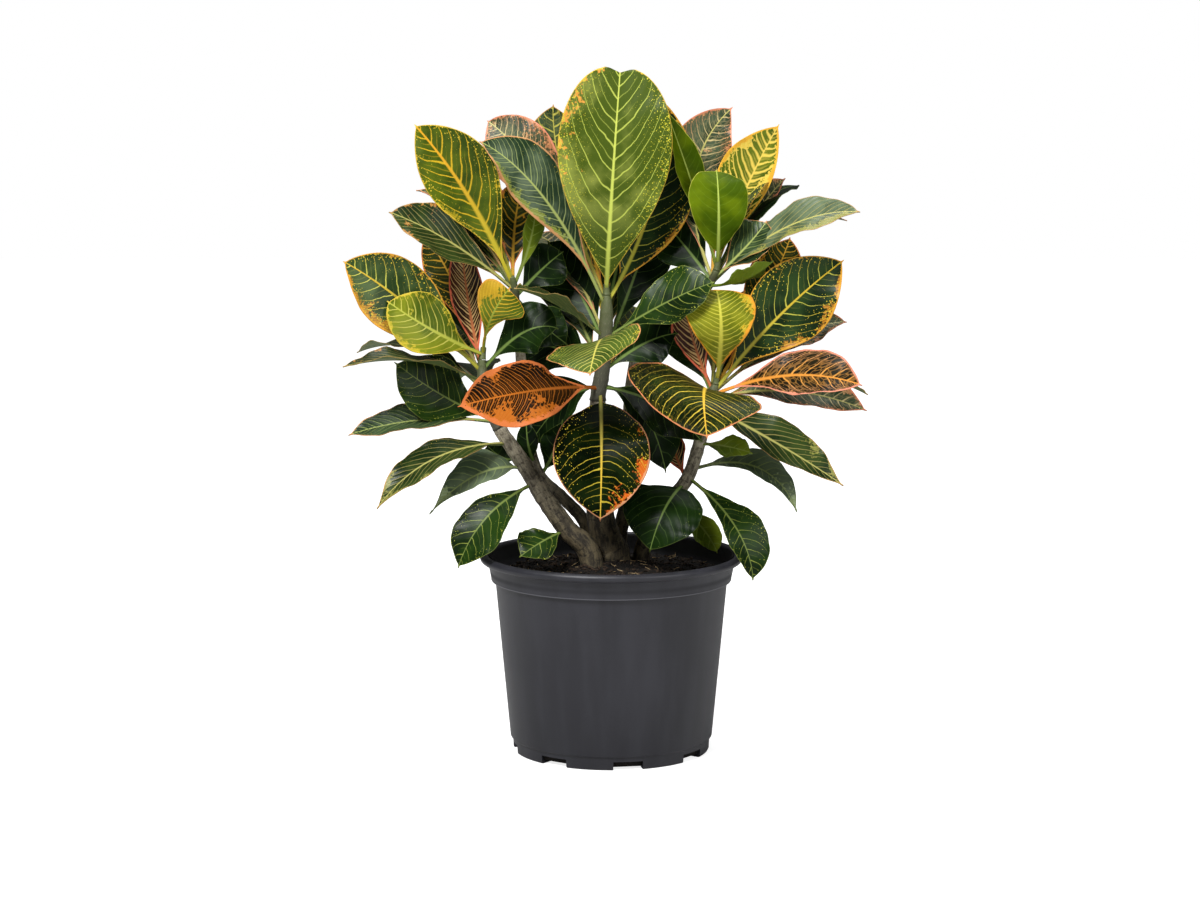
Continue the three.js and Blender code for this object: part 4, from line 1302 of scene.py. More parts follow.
# The leaves of each shoot: root, a point at half length, tip, the way the upper face looks, greatest
# width, look, and what differs from the usual form.
YOUNG_LEAVES: dict[str, list[Row]] = {
    "centre": [
        ((-4, 0, 375), (0, -24, 452), (7, -10, 553), (0.05, -1, 0.1), 91, K.BRIGHT,
         {"peak": 0.68, "base": 0.6, "blunt": 0.4, "fold": 6, "petiole": 0.05, "notch": 5, "point": 0}),
    ],
    "left": [
        ((-103, 1, 323), (-140, -26, 344), (-176, -34, 368), (-0.3, -0.8, 0.5), 50, K.YOUNG,
         {"blunt": 0.6}),
        ((-103, 1, 324), (-97, -18, 352), (-82, -16, 377), (0.45, -0.8, 0.3), 44, K.STRIPED_YOUNG,
         {"peak": 0.8, "base": 0.7, "blunt": 0.35}),
    ],
    "right": [
        ((85, 0, 303), (87, -28, 347), (84, -6, 376), (0.1, -0.95, 0.25), 57, K.EDGED_YOUNG,
         {"peak": 0.66, "base": 0.5, "blunt": 0.35, "fold": 3, "point": 0}),
    ],
    "upper_right": [
        ((85, 0, 396), (85, -18, 439), (84, 4, 470), (0.1, -0.95, 0.35), 48, K.PLAIN_YOUNG,
         {"base": 0.45, "blunt": 0.4, "fold": 2}),
        ((84, 0, 394), (66, 6, 455), (44, 2, 517), (0.6, -0.8, 0.1), 30, K.PLAIN_YOUNG,
         {"peak": 0.5, "fold": 20}),
    ],
}
SHOOT_LEAVES: dict[str, list[Row]] = {
    "centre": [
        ((-4, 1, 364), (32, 10, 444), (41, 12, 525), (0.2, -1, 0.25), 64, K.GOLD, {"peak": 0.5}),
        ((-5, -1, 363), (-52, -22, 448), (-102, -36, 494), (-0.45, -0.6, 0.7), 52, K.SILVER,
         {"fold": 14, "left": 0.8}),
        ((-4, 1, 365), (-37, 26, 454), (-47, 30, 521), (-0.1, -1, 0.15), 60, K.SPECKLED, {}),
        ((-4, 1, 361), (-54, 8, 458), (-99, 26, 509), (-0.25, -0.85, 0.4), 54, K.PINK, {"peak": 0.66}),
        ((-5, 0, 337), (-41, -26, 365), (-75, -46, 380), (0, -0.12, 1), 46, K.STREAK, {"fold": 14}),
        ((-9, 0, 296), (-57, -48, 300), (-118, -70, 290), (-0.1, -0.9, 0.45), 62, K.COMB,
         {"right": 0.85, "wave": 4}),
        ((-5, 0, 335), (-11, -68, 338), (-17, -104, 319), (-0.35, -0.35, 0.87), 80, K.DENSE, {}),
        ((-9, 0, 293), (-8, -46, 254), (-9, -52, 198), (0, -0.97, 0.1), 78, K.FRONT,
         {"peak": 0.52, "base": 0.55}),
        ((-5, 0, 336), (41, -14, 365), (80, -24, 383), (0.1, -0.75, 0.65), 50, K.THIN, {}),
        ((-5, 0, 330), (-27, 30, 373), (-51, 40, 411), (-0.3, -0.9, 0.3), 60, K.PLAIN, {}),
        ((-5, 0, 326), (20, 36, 387), (30, 50, 422), (0.3, -0.9, 0.3), 50, K.PLAIN, {}),
        ((-9, 0, 297), (35, -18, 286), (71, -30, 258), (0.2, -0.75, 0.65), 54, K.PLAIN, {}),
        ((-9, 0, 298), (-38, 30, 282), (-66, 48, 246), (-0.2, -0.8, 0.5), 56, K.PLAIN, {}),
        ((-9, 0, 298), (24, 12, 278), (44, 14, 228), (0.2, -0.8, 0.5), 50, K.PLAIN, {}),
        ((-8, 0, 306), (-42, 34, 324), (-78, 54, 328), (-0.2, -0.85, 0.4), 58, K.PLAIN, {}),
        ((-8, 0, 308), (24, 8, 330), (52, 4, 340), (0.2, -0.85, 0.4), 44, K.PLAIN, {}),
    ],
    "upper_left": [
        ((-79, 1, 379), (-112, -16, 448), (-154, -22, 506), (-0.3, -0.9, 0.35), 68, K.BROAD_GOLD,
         {"fold": 12, "left": 0.75}),
        ((-79, 2, 378), (-78, 14, 424), (-71, 24, 462), (0.2, -0.95, 0.2), 40, K.EMBER, {}),
        ((-78, 2, 379), (-65, 3, 415), (-61, 10, 443), (0.5, -0.8, 0.2), 18, K.OLIVE, {}),
        ((-78, 2, 375), (-126, -24, 414), (-173, -40, 439), (-0.1, -0.72, 0.7), 48, K.CURLED, {"fold": 14}),
        ((-79, 2, 378), (-96, 18, 401), (-110, 24, 416), (-0.3, -0.8, 0.5), 32, K.SPECKLED, {}),
        ((-78, 3, 370), (-59, 14, 349), (-37, 14, 331), (0.3, -0.85, 0.4), 38, K.PLAIN, {}),
        ((-78, 5, 368), (-58, 14, 389), (-40, 20, 404), (0.2, -0.9, 0.3), 40, K.PLAIN, {}),
    ],
    "upper_right": [
        ((81, 2, 384), (67, 27, 461), (96, 30, 519), (0.1, -0.95, 0.3), 52, K.PINK, {"fold": 12}),
        ((82, 2, 386), (105, 22, 447), (133, 14, 505), (0.05, -0.95, 0.3), 56, K.YELLOW,
         {"fold": 12, "right": 0.6}),
        ((82, 2, 384), (113, 32, 429), (140, 40, 462), (-0.5, -0.8, 0.3), 42, K.PINK, {"right": 0.35}),
        ((81, 2, 383), (107, -8, 410), (123, -8, 430), (-0.3, -0.75, 0.6), 44, K.GREY, {}),
        ((80, 4, 380), (137, -22, 426), (193, -40, 440), (-0.2, -0.62, 0.75), 38, K.OLIVE_STREAK,
         {"fold": 14, "base": 0.55}),
        ((79, 4, 379), (104, -8, 384), (127, -10, 398), (-0.3, 0.4, 0.85), 36, K.OLIVE, {}),
        ((81, 3, 382), (62, 16, 406), (42, 26, 430), (-0.3, -0.9, 0.3), 46, K.PLAIN, {}),
    ],
    "left": [
        ((-104, 0, 309), (-161, -24, 364), (-210, -38, 400), (-0.35, -0.8, 0.5), 60, K.LOW_GOLD,
         {"peak": 0.55, "fold": 12}),
        ((-104, 0, 309), (-116, 8, 370), (-121, 6, 424), (-0.2, -0.95, 0.2), 28, K.RED,
         {"peak": 0.5, "blunt": 1.2}),
        ((-103, -2, 301), (-153, -36, 322), (-209, -56, 320), (0, -0.1, 1), 40, K.CURLED, {"fold": 14}),
        ((-94, -4, 271), (-133, -12, 290), (-171, -24, 318), (-0.1, -0.85, 0.5), 56, K.THIN, {}),
        ((-93, -4, 269), (-151, -22, 273), (-208, -26, 262), (0, -0.5, 0.87), 36, K.GREY, {"fold": 14}),
        ((-104, 0, 312), (-126, 18, 375), (-151, 22, 418), (-0.3, -0.9, 0.3), 36, K.EMBER, {}),
        ((-104, 0, 310), (-72, -8, 341), (-44, -14, 346), (0.3, -0.8, 0.5), 46, K.PLAIN, {}),
    ],
    "right": [
        ((82, 0, 292), (130, -10, 351), (183, -16, 399), (0.2, -0.92, 0.35), 65, K.GOLD, {}),
        ((81, 0, 290), (140, -26, 309), (196, -44, 304), (0, -0.72, 0.7), 46, K.LACE, {"left": 1.1}),
        ((80, 0, 287), (142, -2, 294), (203, -10, 280), (0, -0.72, 0.7), 44, K.PINK, {"right": 0.7}),
        ((82, 0, 293), (67, 4, 331), (58, 2, 367), (-0.4, -0.9, 0.2), 30, K.RED, {}),
        ((81, 0, 291), (66, 22, 325), (51, 30, 355), (-0.4, -0.9, 0.2), 40, K.PLAIN, {}),
        ((82, 0, 292), (141, 26, 332), (190, 30, 347), (0, -0.5, 0.8), 40, K.PINK, {}),
        ((82, 0, 293), (123, 18, 366), (144, 20, 415), (0.1, -0.95, 0.25), 44, K.EMBER, {}),
        ((81, 0, 290), (72, -72, 301), (73, -108, 271), (0.25, -0.45, 0.85), 108, K.NETTED,
         {"left": 0.85, "right": 1.2}),
        ((79, 0, 281), (136, -22, 252), (184, -30, 222), (0.1, -0.75, 0.65), 36, K.STREAK,
         {"peak": 0.45, "base": 0.6, "blunt": 1.1, "left": 1.2, "right": 0.8}),
    ],
}
BARK_LEAVES: dict[str, list[Row]] = {
    "left": [
        ((-83, -8, 252), (-140, -44, 245), (-184, -62, 209), (-0.1, -0.5, 0.85), 36, K.STREAK,
         {"peak": 0.5, "base": 0.7, "blunt": 1, "fold": 12}),
        ((-70, -10, 232), (-107, -22, 229), (-144, -28, 200), (-0.1, -0.7, 0.7), 42, K.PALE,
         {"peak": 0.4, "blunt": 1.4, "left": 0.6}),
        ((-75, -9, 242), (-87, 20, 236), (-102, 46, 243), (0.2, -0.9, 0.4), 28, K.PLAIN, {}),
        ((-62, -11, 220), (-99, -34, 197), (-122, -40, 158), (-0.35, -0.85, 0.4), 44, K.THIN,
         {"base": 0.65, "left": 1.15, "right": 0.85}),
        ((-37, -12, 182), (-55, -30, 176), (-72, -40, 166), (-0.35, -0.8, 0.5), 36, K.THIN, {}),
    ],
    "upper_left": [
        ((-58, 22, 221), (-47, 18, 242), (-40, 14, 266), (0.2, -0.9, 0.4), 28, K.PLAIN, {}),
        ((-62, 21, 232), (-67, 7, 247), (-69, 8, 268), (0, -1, 0.1), 18, K.PLAIN, {}),
    ],
    "right": [
        ((59, 4, 217), (43, -26, 202), (31, -34, 170), (-0.2, -0.85, 0.5), 68, K.PLAIN,
         {"peak": 0.5, "base": 0.6}),
        ((62, 2, 223), (98, -34, 190), (113, -42, 148), (0.4, -0.85, 0.35), 36, K.THIN,
         {"base": 0.7, "left": 1.25, "right": 0.75}),
        ((64, 2, 229), (116, -6, 233), (149, -10, 199), (0.1, -0.6, 0.8), 36, K.PALE,
         {"peak": 0.5, "blunt": 1, "right": 0.55}),
        ((71, 0, 251), (91, -16, 251), (111, -24, 247), (0, -0.6, 0.8), 26, K.OLIVE, {}),
        ((49, 8, 204), (72, -8, 185), (85, -14, 165), (0.3, -0.9, 0.4), 24, K.OLIVE, {}),
        ((61, 4, 222), (53, 20, 238), (48, 34, 258), (-0.2, -0.9, 0.3), 20, K.RED, {}),
    ],
}
REAR_KINDS = (K.GOLD, K.PLAIN, K.EMBER, K.SPECKLED, K.GREY, K.STREAK, K.PINK)


@dataclass(frozen=True)
class RearRule:
    """Leaves of the side away from the front: how many, and their ranges in degrees and millimetres."""

    count: int
    heading: tuple[float, float]
    rise: tuple[float, float]
    length: tuple[float, float]
    seed: int

    GOLDEN = 0.618
    WIDTH = (44, 14)
    ARCH = 0.08
    DROOP = 0.12

    def rows(self, line: list[tuple[float, ...]], start: int, end: int) -> list[Row]:
        """The leaves' rows, spread round the shoot by the golden section and upwards along it.

        Args:
            line: the stem's centre line.
            start: the line's first point that carries a leaf.
            end: the last one.

        Returns:
            One row for each leaf.
        """
        draw = ParkRandom(self.seed).draw
        rows = []
        for i in range(self.count):
            height = (i + 0.5) / self.count
            spread = (i * self.GOLDEN + 0.1) % 1
            heading = math.radians(lerp(*self.heading, spread) + 8 * (draw() - 0.5))
            rise = math.radians(lerp(*self.rise, height))
            length = lerp(*self.length, 0.6 * height) + 10 * (draw() - 0.5)
            width = math.floor(self.WIDTH[0] + self.WIDTH[1] * draw() + 0.5)
            root = Vector(line[math.floor(lerp(start, end, height) + 0.5)][:3])
            out = toward(heading, rise)
            middle = root + out * (length / 2) + UP * (self.ARCH * length)
            tip = root + out * length - UP * (self.DROOP * length)
            look = (*polar(-0.7 * math.sin(rise), heading), 0.95)
            kind = REAR_KINDS[(i + self.seed) % len(REAR_KINDS)]
            rows.append((tuple(root), tuple(middle), tuple(tip), look, width, kind, {}))
        return rows


REAR_LEAVES = {
    "centre": RearRule(8, (60, 128), (20, 62), (165, 125), 39595),
    "left": RearRule(5, (95, 165), (5, 50), (140, 105), 71271),
    "upper_left": RearRule(5, (104, 165), (25, 60), (140, 105), 95028),
    "right": RearRule(5, (15, 85), (5, 50), (140, 105), 166299),
    "upper_right": RearRule(5, (15, 85), (25, 60), (140, 105), 245489),
}


# ---- Stems ----


@dataclass(frozen=True)
class StemLine:
    """A stem's centre line from the soil up, as points with the radius there.

    The bark ends at point `bark`, where the green shoot starts, and the young tip starts at `young`.
    """

    wood: str
    bark: int
    young: int
    points: list[tuple[float, float, float, float]]


STEM_FOOT_Z = 70
STEMS = {
    "centre": StemLine("centre_trunk", 4, 8, [
        (0.5, 9.5, 152, 15.2), (-4, 7, 171, 12.6), (-9, 4, 193, 11.2), (-11, 1, 241, 8.6),
        (-11, 0, 286, 6.4), (-8, 0, 306, 6.2), (-5, 0, 335, 5.8), (-4, 0, 358, 5.2), (-4, 0, 371, 3.2),
        (-4, 0, 380, 2.2),
    ]),
    "left": StemLine("left_stem", 5, 9, [
        (-16, -12, 156, 9.4), (-36, -12, 183, 8.2), (-53, -12, 207, 7.4), (-66, -10, 228, 6.6),
        (-80, -8, 249, 6), (-90, -6, 264, 5.5), (-99, -4, 285, 5.2), (-103, -2, 301, 4.8),
        (-104, 0, 312, 4), (-104, 0, 319, 3), (-103, 2, 329, 2.2),
    ]),
    "upper_left": StemLine("upper_left_stem", 7, 9, [
        (-16, 33, 153, 5.6), (-22, 28, 182, 5.2), (-40, 25, 203, 5), (-57, 22, 220, 4.8),
        (-66, 20, 243, 4.6), (-71, 18, 284, 4.4), (-75, 12, 342, 4), (-77, 8, 357, 3.8),
        (-78, 3, 375, 3.4), (-80, 0, 386, 2.4),
    ]),
    "right": StemLine("right_stem", 5, 7, [
        (24, 22, 150, 7), (36, 18, 185, 6.2), (49, 9, 204, 5.8), (62, 2, 223, 5.4), (70, 0, 247, 5.2),
        (76, 0, 270, 5), (81, 0, 290, 4.5), (84, 0, 299, 3), (85, 0, 309, 2.2),
    ]),
    "upper_right": StemLine("upper_right_stem", 8, 10, [
        (7, 46, 149, 6.6), (7, 43, 169, 6.2), (12, 38, 195, 5.8), (15, 36, 233, 5.2), (15, 34, 282, 4.8),
        (23, 30, 328, 4.4), (41, 24, 347, 4), (64, 14, 364, 3.8), (76, 8, 375, 3.6), (81, 2, 384, 3.2),
        (84, 0, 391, 2.8), (86, 0, 402, 2),
    ]),
}


@dataclass
class Stem:
    """One stem: its bark, and the green shoot above it."""

    plan: StemLine
    sides: int = 22
    fine: int = 9
    ring_gap: float = 9.0
    ring_half: float = 1.1
    ring_rise: float = 0.05
    rough_scale: float = 0.11
    rough_rise: float = 0.05
    joint_swell: float = 1.2
    plug_rise: float = 0.27
    plug_share: float = 0.94

    def line(self, steps: int) -> list[tuple[float, ...]]:
        """The whole centre line, from the foot in the soil up."""
        x, y, _, radius = self.plan.points[0]
        return smooth_line([(x, y, STEM_FOOT_Z, radius), *self.plan.points], steps)

    def build_rod(self, shape: Shape, start: int, end: int, slot: int, lift: float = 0.0) -> None:
        """Add a stretch of the stem with its rings, bumps and ridges.

        Args:
            shape: the mesh in the making.
            start: the plan point where the stretch starts, with -1 for the foot.
            end: the plan point where it ends.
            slot: the material slot.
            lift: how far a shoot's lower end is moved up along the line; 0 for bark, which ends in a plug.
        """
        line = self.line(self.fine)
        first, last = (start + 1) * self.fine, (end + 1) * self.fine
        green = (self.plan.bark + 1) * self.fine if lift else first
        top = len(line) - 1 if lift else last
        rings = []
        travelled = 0.0
        for i in range(first, last + 1):
            here = Vector(line[i][:3])
            ahead, behind = line[min(i + 1, len(line) - 1)][:3], line[max(i - 1, 0)][:3]
            along = (Vector(ahead) - Vector(behind)).normalized()
            if i > first:
                travelled += (here - Vector(line[i - 1][:3])).length
            across = along.cross(Vector((0, 1, 0.02))).normalized()
            third = along.cross(across)
            centre = here + along * (lift if i == first else 0.0)
            ring = []
            from_ring = ((travelled / self.ring_gap + 0.5) % 1 - 0.5) * self.ring_gap
            scar = math.exp(-(from_ring / self.ring_half) ** 2)
            scar += self.joint_swell if lift and i == first else 0.0
            for turn in turns(self.sides):
                out = across * math.cos(turn) + third * math.sin(turn)
                rough = noise.noise(here * self.rough_scale + out * 1.7)
                radius = line[i][3] * (1 + self.ring_rise * scar + self.rough_rise * rough)
                stem = (travelled, turn * line[i][3], (i - green) / (top - green))
                ring.append(shape.add_point(centre + out * radius, stem=stem))
            rings.append(ring)
        if not lift:
            plug = []
            for k in rings[-1]:
                spot = centre.lerp(shape.points[k], self.plug_share) + along * self.plug_rise
                plug.append(shape.add_point(spot, stem=shape.values["stem"][k]))
            rings.append(plug)
        shape.add_rings(rings, slot)


class Foliage:
    """All stems with their bark, shoots and leaves."""

    NUMBER_STEP = 0.137
    JOINT_GAP = 0.3

    def __init__(self) -> None:
        """Make the materials."""
        self.leaf_materials = {kind: LEAF_FINISHES[kind].material(kind.value) for kind in LeafKind}
        self.bark = BarkFinish().material("ringed_bark")
        self.shoot = ShootFinish().material("green_shoot")
        self.made = 0

    def head(self, node: str, rows: list[Row], slot: str, rod: tuple[Stem, int, int] | None) -> None:
        """Make one piece of leaves, with its stretch of shoot.

        Args:
            node: the model's node that the piece replaces.
            rows: its leaves.
            slot: a material slot's name, handed on to the piece.
            rod: the stem and the plan points of the shoot's stretch, if it has one.
        """
        shape = Shape()
        kinds = sorted({row[5] for row in rows}, key=lambda kind: kind.value)
        materials = [self.shoot, *(self.leaf_materials[kind] for kind in kinds)]
        if rod:
            stem, start, end = rod
            stem.build_rod(shape, start, end, 0, lift=self.JOINT_GAP)
        for i, (root, middle, tip, look, width, kind, changes) in enumerate(rows):
            self.made += 1
            number = self.made * self.NUMBER_STEP
            leaf = Leaf(root, middle, tip, look, width, LeafForm(**changes), float(i), number)
            leaf.build(shape, 1 + kinds.index(kind))
        piece = shape.piece(f"{node}_fine", materials, slot)
        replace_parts(piece, node)

    def build(self) -> None:
        """Make every stem, shoot and leaf."""
        for name, plan in STEMS.items():
            stem = Stem(plan)
            shape = Shape()
            stem.build_rod(shape, -1, plan.bark, 0)
            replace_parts(shape.piece(f"{plan.wood}_fine", [self.bark], "bark"), plan.wood)
            young = YOUNG_LEAVES.get(name, [])
            line = stem.line(2)
            rear = REAR_LEAVES[name].rows(line, (plan.bark + 1) * 2 + 1, (plan.young + 1) * 2 - 1)
            top = plan.young if young else len(plan.points) - 1
            self.head(f"{name}_leaves", [*SHOOT_LEAVES[name], *rear], "mature_leaf", (stem, plan.bark, top))
            if young:
                end = len(plan.points) - 1
                self.head(f"{name}_young_leaves", young, "young_leaf", (stem, plan.young, end))
            for i, row in enumerate(BARK_LEAVES.get(name, [])):
                self.head(f"{name}_low_leaf_{i + 1}", [row], "mature_leaf", None)


# ---- Pot and soil ----


@dataclass
class Pot:
    """Moulded container with a rolled lip, a collar, a tapering wall and a slotted foot."""

    height: float = 162
    lip_radius: float = 106.7
    lip_inner: float = 98.4
    lip_drop: float = 6.4
    lip_roll: float = 3.6
    lip_rise: float = 3.4
    lip_steps: int = 15
    collar_top: float = 100.4
    collar_low: float = 97.6
    collar_inner: float = 94.1
    collar_z: float = 140.6
    wall_top: float = 94.2
    wall_foot: float = 82.4
    foot_radius: float = 80
    foot_z: float = 10.5
    wall: float = 1.8
    floor: float = 2.6
    segments: int = 192
    slot_count: int = 8
    slot_width: float = 24
    slot_height: float = 7
    slot_depth: float = 13
    slot_angle: float = -80.4
    sharp_angle: float = 35

    def profile(self) -> list[tuple[float, float]]:
        """Work out the pot's outline.

        Returns:
            Radius and height of its points, from the middle of the underside round to the inside.
        """
        z = self.height - self.lip_drop
        lip = []
        for i in range(self.lip_steps):
            turn = math.radians(lerp(-80, 175, i / (self.lip_steps - 1)))
            out = self.lip_radius - self.lip_roll + self.lip_roll * math.cos(turn)
            lip.append((out, z + 2.9 + self.lip_rise * math.sin(turn)))
        return [
            (0, 0), (40, 0), (self.foot_radius - 1.6, 0), (self.foot_radius - 0.5, 0.4),
            (self.foot_radius, 1.4), (self.foot_radius + 0.4, self.foot_z - 0.8),
            (self.foot_radius + 0.8, self.foot_z), (self.wall_foot - 0.5, self.foot_z + 0.7),
            (self.wall_foot, self.foot_z + 1.6), (lerp(self.wall_foot, self.wall_top, 0.5), 75),
            (self.wall_top, self.collar_z - 1.6), (self.wall_top + 0.3, self.collar_z - 0.9),
            (self.collar_low - 0.2, self.collar_z - 0.3), (self.collar_low + 0.1, self.collar_z + 0.3),
            (self.collar_low + 0.1, self.collar_z + 1.1), (self.collar_low + 0.15, self.collar_z + 1.6),
            (self.collar_top - 0.4, z - 2), (self.collar_top + 0.2, z - 0.9),
            (self.collar_top + 1.4, z - 0.3), *lip,
            (self.lip_inner + 0.6, self.height - 1.2), (self.lip_inner, self.height - 3),
            (self.collar_inner, self.collar_z + 1), (self.wall_top - self.wall, self.collar_z - 2),
            (self.wall_foot - self.wall, self.foot_z + 1.5), (self.foot_radius - self.wall, self.foot_z),
            (self.foot_radius - self.wall - 1, self.floor), (0, self.floor),
        ]

    def build(self) -> None:
        """Turn the outline, cut the slots and dress the pot."""
        shape = Shape()
        profile = self.profile()
        columns = []
        bottom = shape.add_point((0, 0, profile[0][1]))
        top = shape.add_point((0, 0, profile[-1][1]))
        for turn in turns(self.segments):
            columns.append([shape.add_point((*polar(r, turn), z)) for r, z in profile[1:-1]])
        for i, column in enumerate(columns):
            following = columns[(i + 1) % self.segments]
            shape.add_face((bottom, following[0], column[0]))
            for j in range(len(column) - 1):
                shape.add_face((column[j], following[j], following[j + 1], column[j + 1]))
            shape.add_face((top, column[-1], following[-1]))
        pot = shape.piece("nursery_pot", [PotFinish().material("charcoal_plastic")], "pot_plastic")
        cutter = self.cutter()
        cut = pot.modifiers.new("slots", "BOOLEAN")
        cut.object = cutter
        cut.solver = "EXACT"
        apply_modifiers(pot)
        bpy.data.objects.remove(cutter)
        smooth_by_angle(pot, self.sharp_angle)
        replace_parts(pot, "pot")

    def cutter(self) -> bpy.types.Object:
        """Make the boxes that cut the slots.

        Returns:
            The boxes, as one object.
        """
        mesh = bmesh.new()
        for i in range(self.slot_count):
            turn = math.radians(self.slot_angle + 360 / self.slot_count * i)
            out = Vector((*polar(1, turn), 0))
            side = UP.cross(out)
            for vert in bmesh.ops.create_cube(mesh, size=1.0)["verts"]:
                x, y, z = vert.co
                place = out * (self.foot_radius + 2 * self.slot_depth * x) + side * (self.slot_width * y)
                vert.co = (place + UP * (2 * self.slot_height * z)) * MM
        data = bpy.data.meshes.new("slot_cutter")
        mesh.to_mesh(data)
        mesh.free()
        return add_object("slot_cutter", data)


def apply_modifiers(piece: bpy.types.Object) -> None:
    """Keep a piece's modified mesh as its own, and drop the modifiers.

    Args:
        piece: the piece.
    """
    graph = bpy.context.evaluated_depsgraph_get()
    mesh = bpy.data.meshes.new_from_object(piece.evaluated_get(graph))
    piece.modifiers.clear()
    piece.data = mesh


def smooth_by_angle(piece: bpy.types.Object, degrees: float) -> None:
    """Shade a piece smooth, with sharp edges where faces meet at more than an angle.

    Args:
        piece: the piece.
        degrees: the angle.
    """
    mesh = bmesh.new()
    mesh.from_mesh(piece.data)
    limit = math.radians(degrees)
    for face in mesh.faces:
        face.smooth = True
    for edge in mesh.edges:
        if len(edge.link_faces) == 2 and edge.calc_face_angle(0) > limit:
            edge.smooth = False
    mesh.to_mesh(piece.data)
    mesh.free()


@dataclass
class Soil:
    """Potting mix: a lumpy bed with loose chips, pale straw, roots and a thin twig on top."""

    edge_z: float = 145
    mound: float = 9
    mound_radius: float = 52
    lump: float = 1.3
    radius: float = 92.6
    bottom_z: float = 3.2
    bottom_radius: float = 77.5
    rings: int = 56
    segments: int = 150
    chips: int = 2300
    straws: int = 120
    seed: int = 11
    twig_line: tuple[tuple[float, float, float, float], ...] = (
        (-72, -20, 146, 1.1), (-70, -21, 155, 0.9), (-66, -22, 163, 0.8), (-64, -22, 171, 0.6),
    )

    def level(self, x: float, y: float) -> float:
        """Work out the bed's height, before the fine crumbs.

        Args:
            x: the place across, in millimetres.
            y: the place in depth, in millimetres.

        Returns:
            The height in millimetres.
        """
        away = math.hypot(x, y) / self.mound_radius
        lumps = math.sin(x / 7 + 1.1) * math.cos(y / 9) + 0.7 * math.sin(x / 13 - y / 6)
        return self.edge_z + self.mound * math.exp(-(away**2)) + self.lump * lumps

    def crumbs(self, x: float, y: float) -> float:
        """Height of the fine crumbs at a point."""
        spot = Vector((x, y, 0))
        return 1.6 * noise.noise(spot * 0.16) + 1.1 * noise.noise(spot * 0.42) + 0.5 * noise.noise(spot * 1.1)

    def bed(self) -> None:
        """Make the bed, closed underneath."""
        shape = Shape()
        loops = []
        for i in range(self.rings, 0, -1):
            r = self.radius * i / self.rings
            loop = []
            edge = 0.0 if i == self.rings else 1.0
            for turn in turns(self.segments):
                x, y = polar(r, turn)
                loop.append(shape.add_point((x, y, self.level(x, y) + edge * self.crumbs(x, y))))
            loops.append(loop)
        floor = []
        for turn in turns(self.segments):
            floor.append(shape.add_point((*polar(self.bottom_radius, turn), self.bottom_z)))
        middle = shape.add_point((0, 0, self.level(0, 0)))
        shape.add_rings([floor, *loops], caps=False)
        shape.add_face(tuple(reversed(floor)))
        for j in range(self.segments):
            shape.add_face((loops[-1][j], loops[-1][(j + 1) % self.segments], middle))
        finish = EarthFinish((0.0012, 0.0009, 0.0008), (0.013, 0.009, 0.006))
        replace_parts(shape.piece("soil_bed", [finish.material("potting_mix")], "soil"), "soil")

    def scatter(self) -> None:
        """Lay bark chips and straw on the bed, at random but the same on every run."""
        draw = random.Random(self.seed)
        chips = Shape()
        for _ in range(self.chips):
            self.chip(chips, draw, draw.uniform(1.2, 5.2), draw.uniform(0.25, 0.6), draw.uniform(0.2, 0.5))
        dark = EarthFinish((0.002, 0.0015, 0.0012), (0.045, 0.027, 0.016), coarse=60, depth=0.001)
        chips.piece("bark_chips", [dark.material("bark_chips")], "soil")
        straw = Shape()
        for _ in range(self.straws):
            self.chip(straw, draw, draw.uniform(5, 13), 0.07, 0.06)
        pale = EarthFinish((0.2, 0.13, 0.06), (0.48, 0.36, 0.2), coarse=200, depth=0.0005)
        straw.piece("straw_bits", [pale.material("pale_straw")], "soil")

    def chip(self, shape: Shape, draw: random.Random, length: float, wide: float, deep: float) -> None:
        """Add one sliver that lies on the bed.

        Args:
            shape: the mesh in the making.
            draw: the random draw.
            length: its length in millimetres.
            wide: its width as a share of the length.
            deep: its thickness as a share of the length.
        """
        reach = (self.radius - 4) * math.sqrt(draw.random())
        x, y = polar(reach, draw.uniform(0, 2 * math.pi))
        heading = draw.uniform(0, math.pi)
        tilt = draw.uniform(-0.5, 0.5)
        along = toward(heading, tilt)
        side = along.cross(UP).normalized()
        up = side.cross(along)
        half = length / 2
        z = self.level(x, y) + self.crumbs(x, y) + 0.25 * half * abs(math.sin(tilt)) + 0.1
        centre = Vector((x, y, z))
        rings = []
        for share, size in ((-1.0, 0.35), (-0.35, 1.0), (0.4, 0.85), (1.0, 0.3)):
            ring = []
            for a, b in ((-1, -1), (1, -1), (1, 1), (-1, 1)):
                jitter = draw.uniform(0.75, 1.25)
                offset = side * (a * half * wide * size * jitter) + up * (b * half * deep * size * jitter)
                ring.append(shape.add_point(centre + along * (share * half) + offset))
            rings.append(ring)
        shape.add_rings(rings)

    def twig(self) -> None:
        """Make the thin dark twig that stands on the soil at the left."""
        shape = Shape()
        rings = []
        for x, y, z, radius in smooth_line(self.twig_line, 5):
            offsets = [polar(radius, turn) for turn in turns(7)]
            rings.append([shape.add_point((x + across, y + deep, z)) for across, deep in offsets])
        shape.add_rings(rings)
        finish = EarthFinish((0.012, 0.009, 0.007), (0.05, 0.035, 0.025), coarse=300, depth=0.0005)
        shape.piece("thin_twig", [finish.material("dark_twig")], "bark")

    def build(self) -> None:
        """Make the bed and what lies on it."""
        self.bed()
        self.scatter()
        self.twig()


# ---- Studio ----


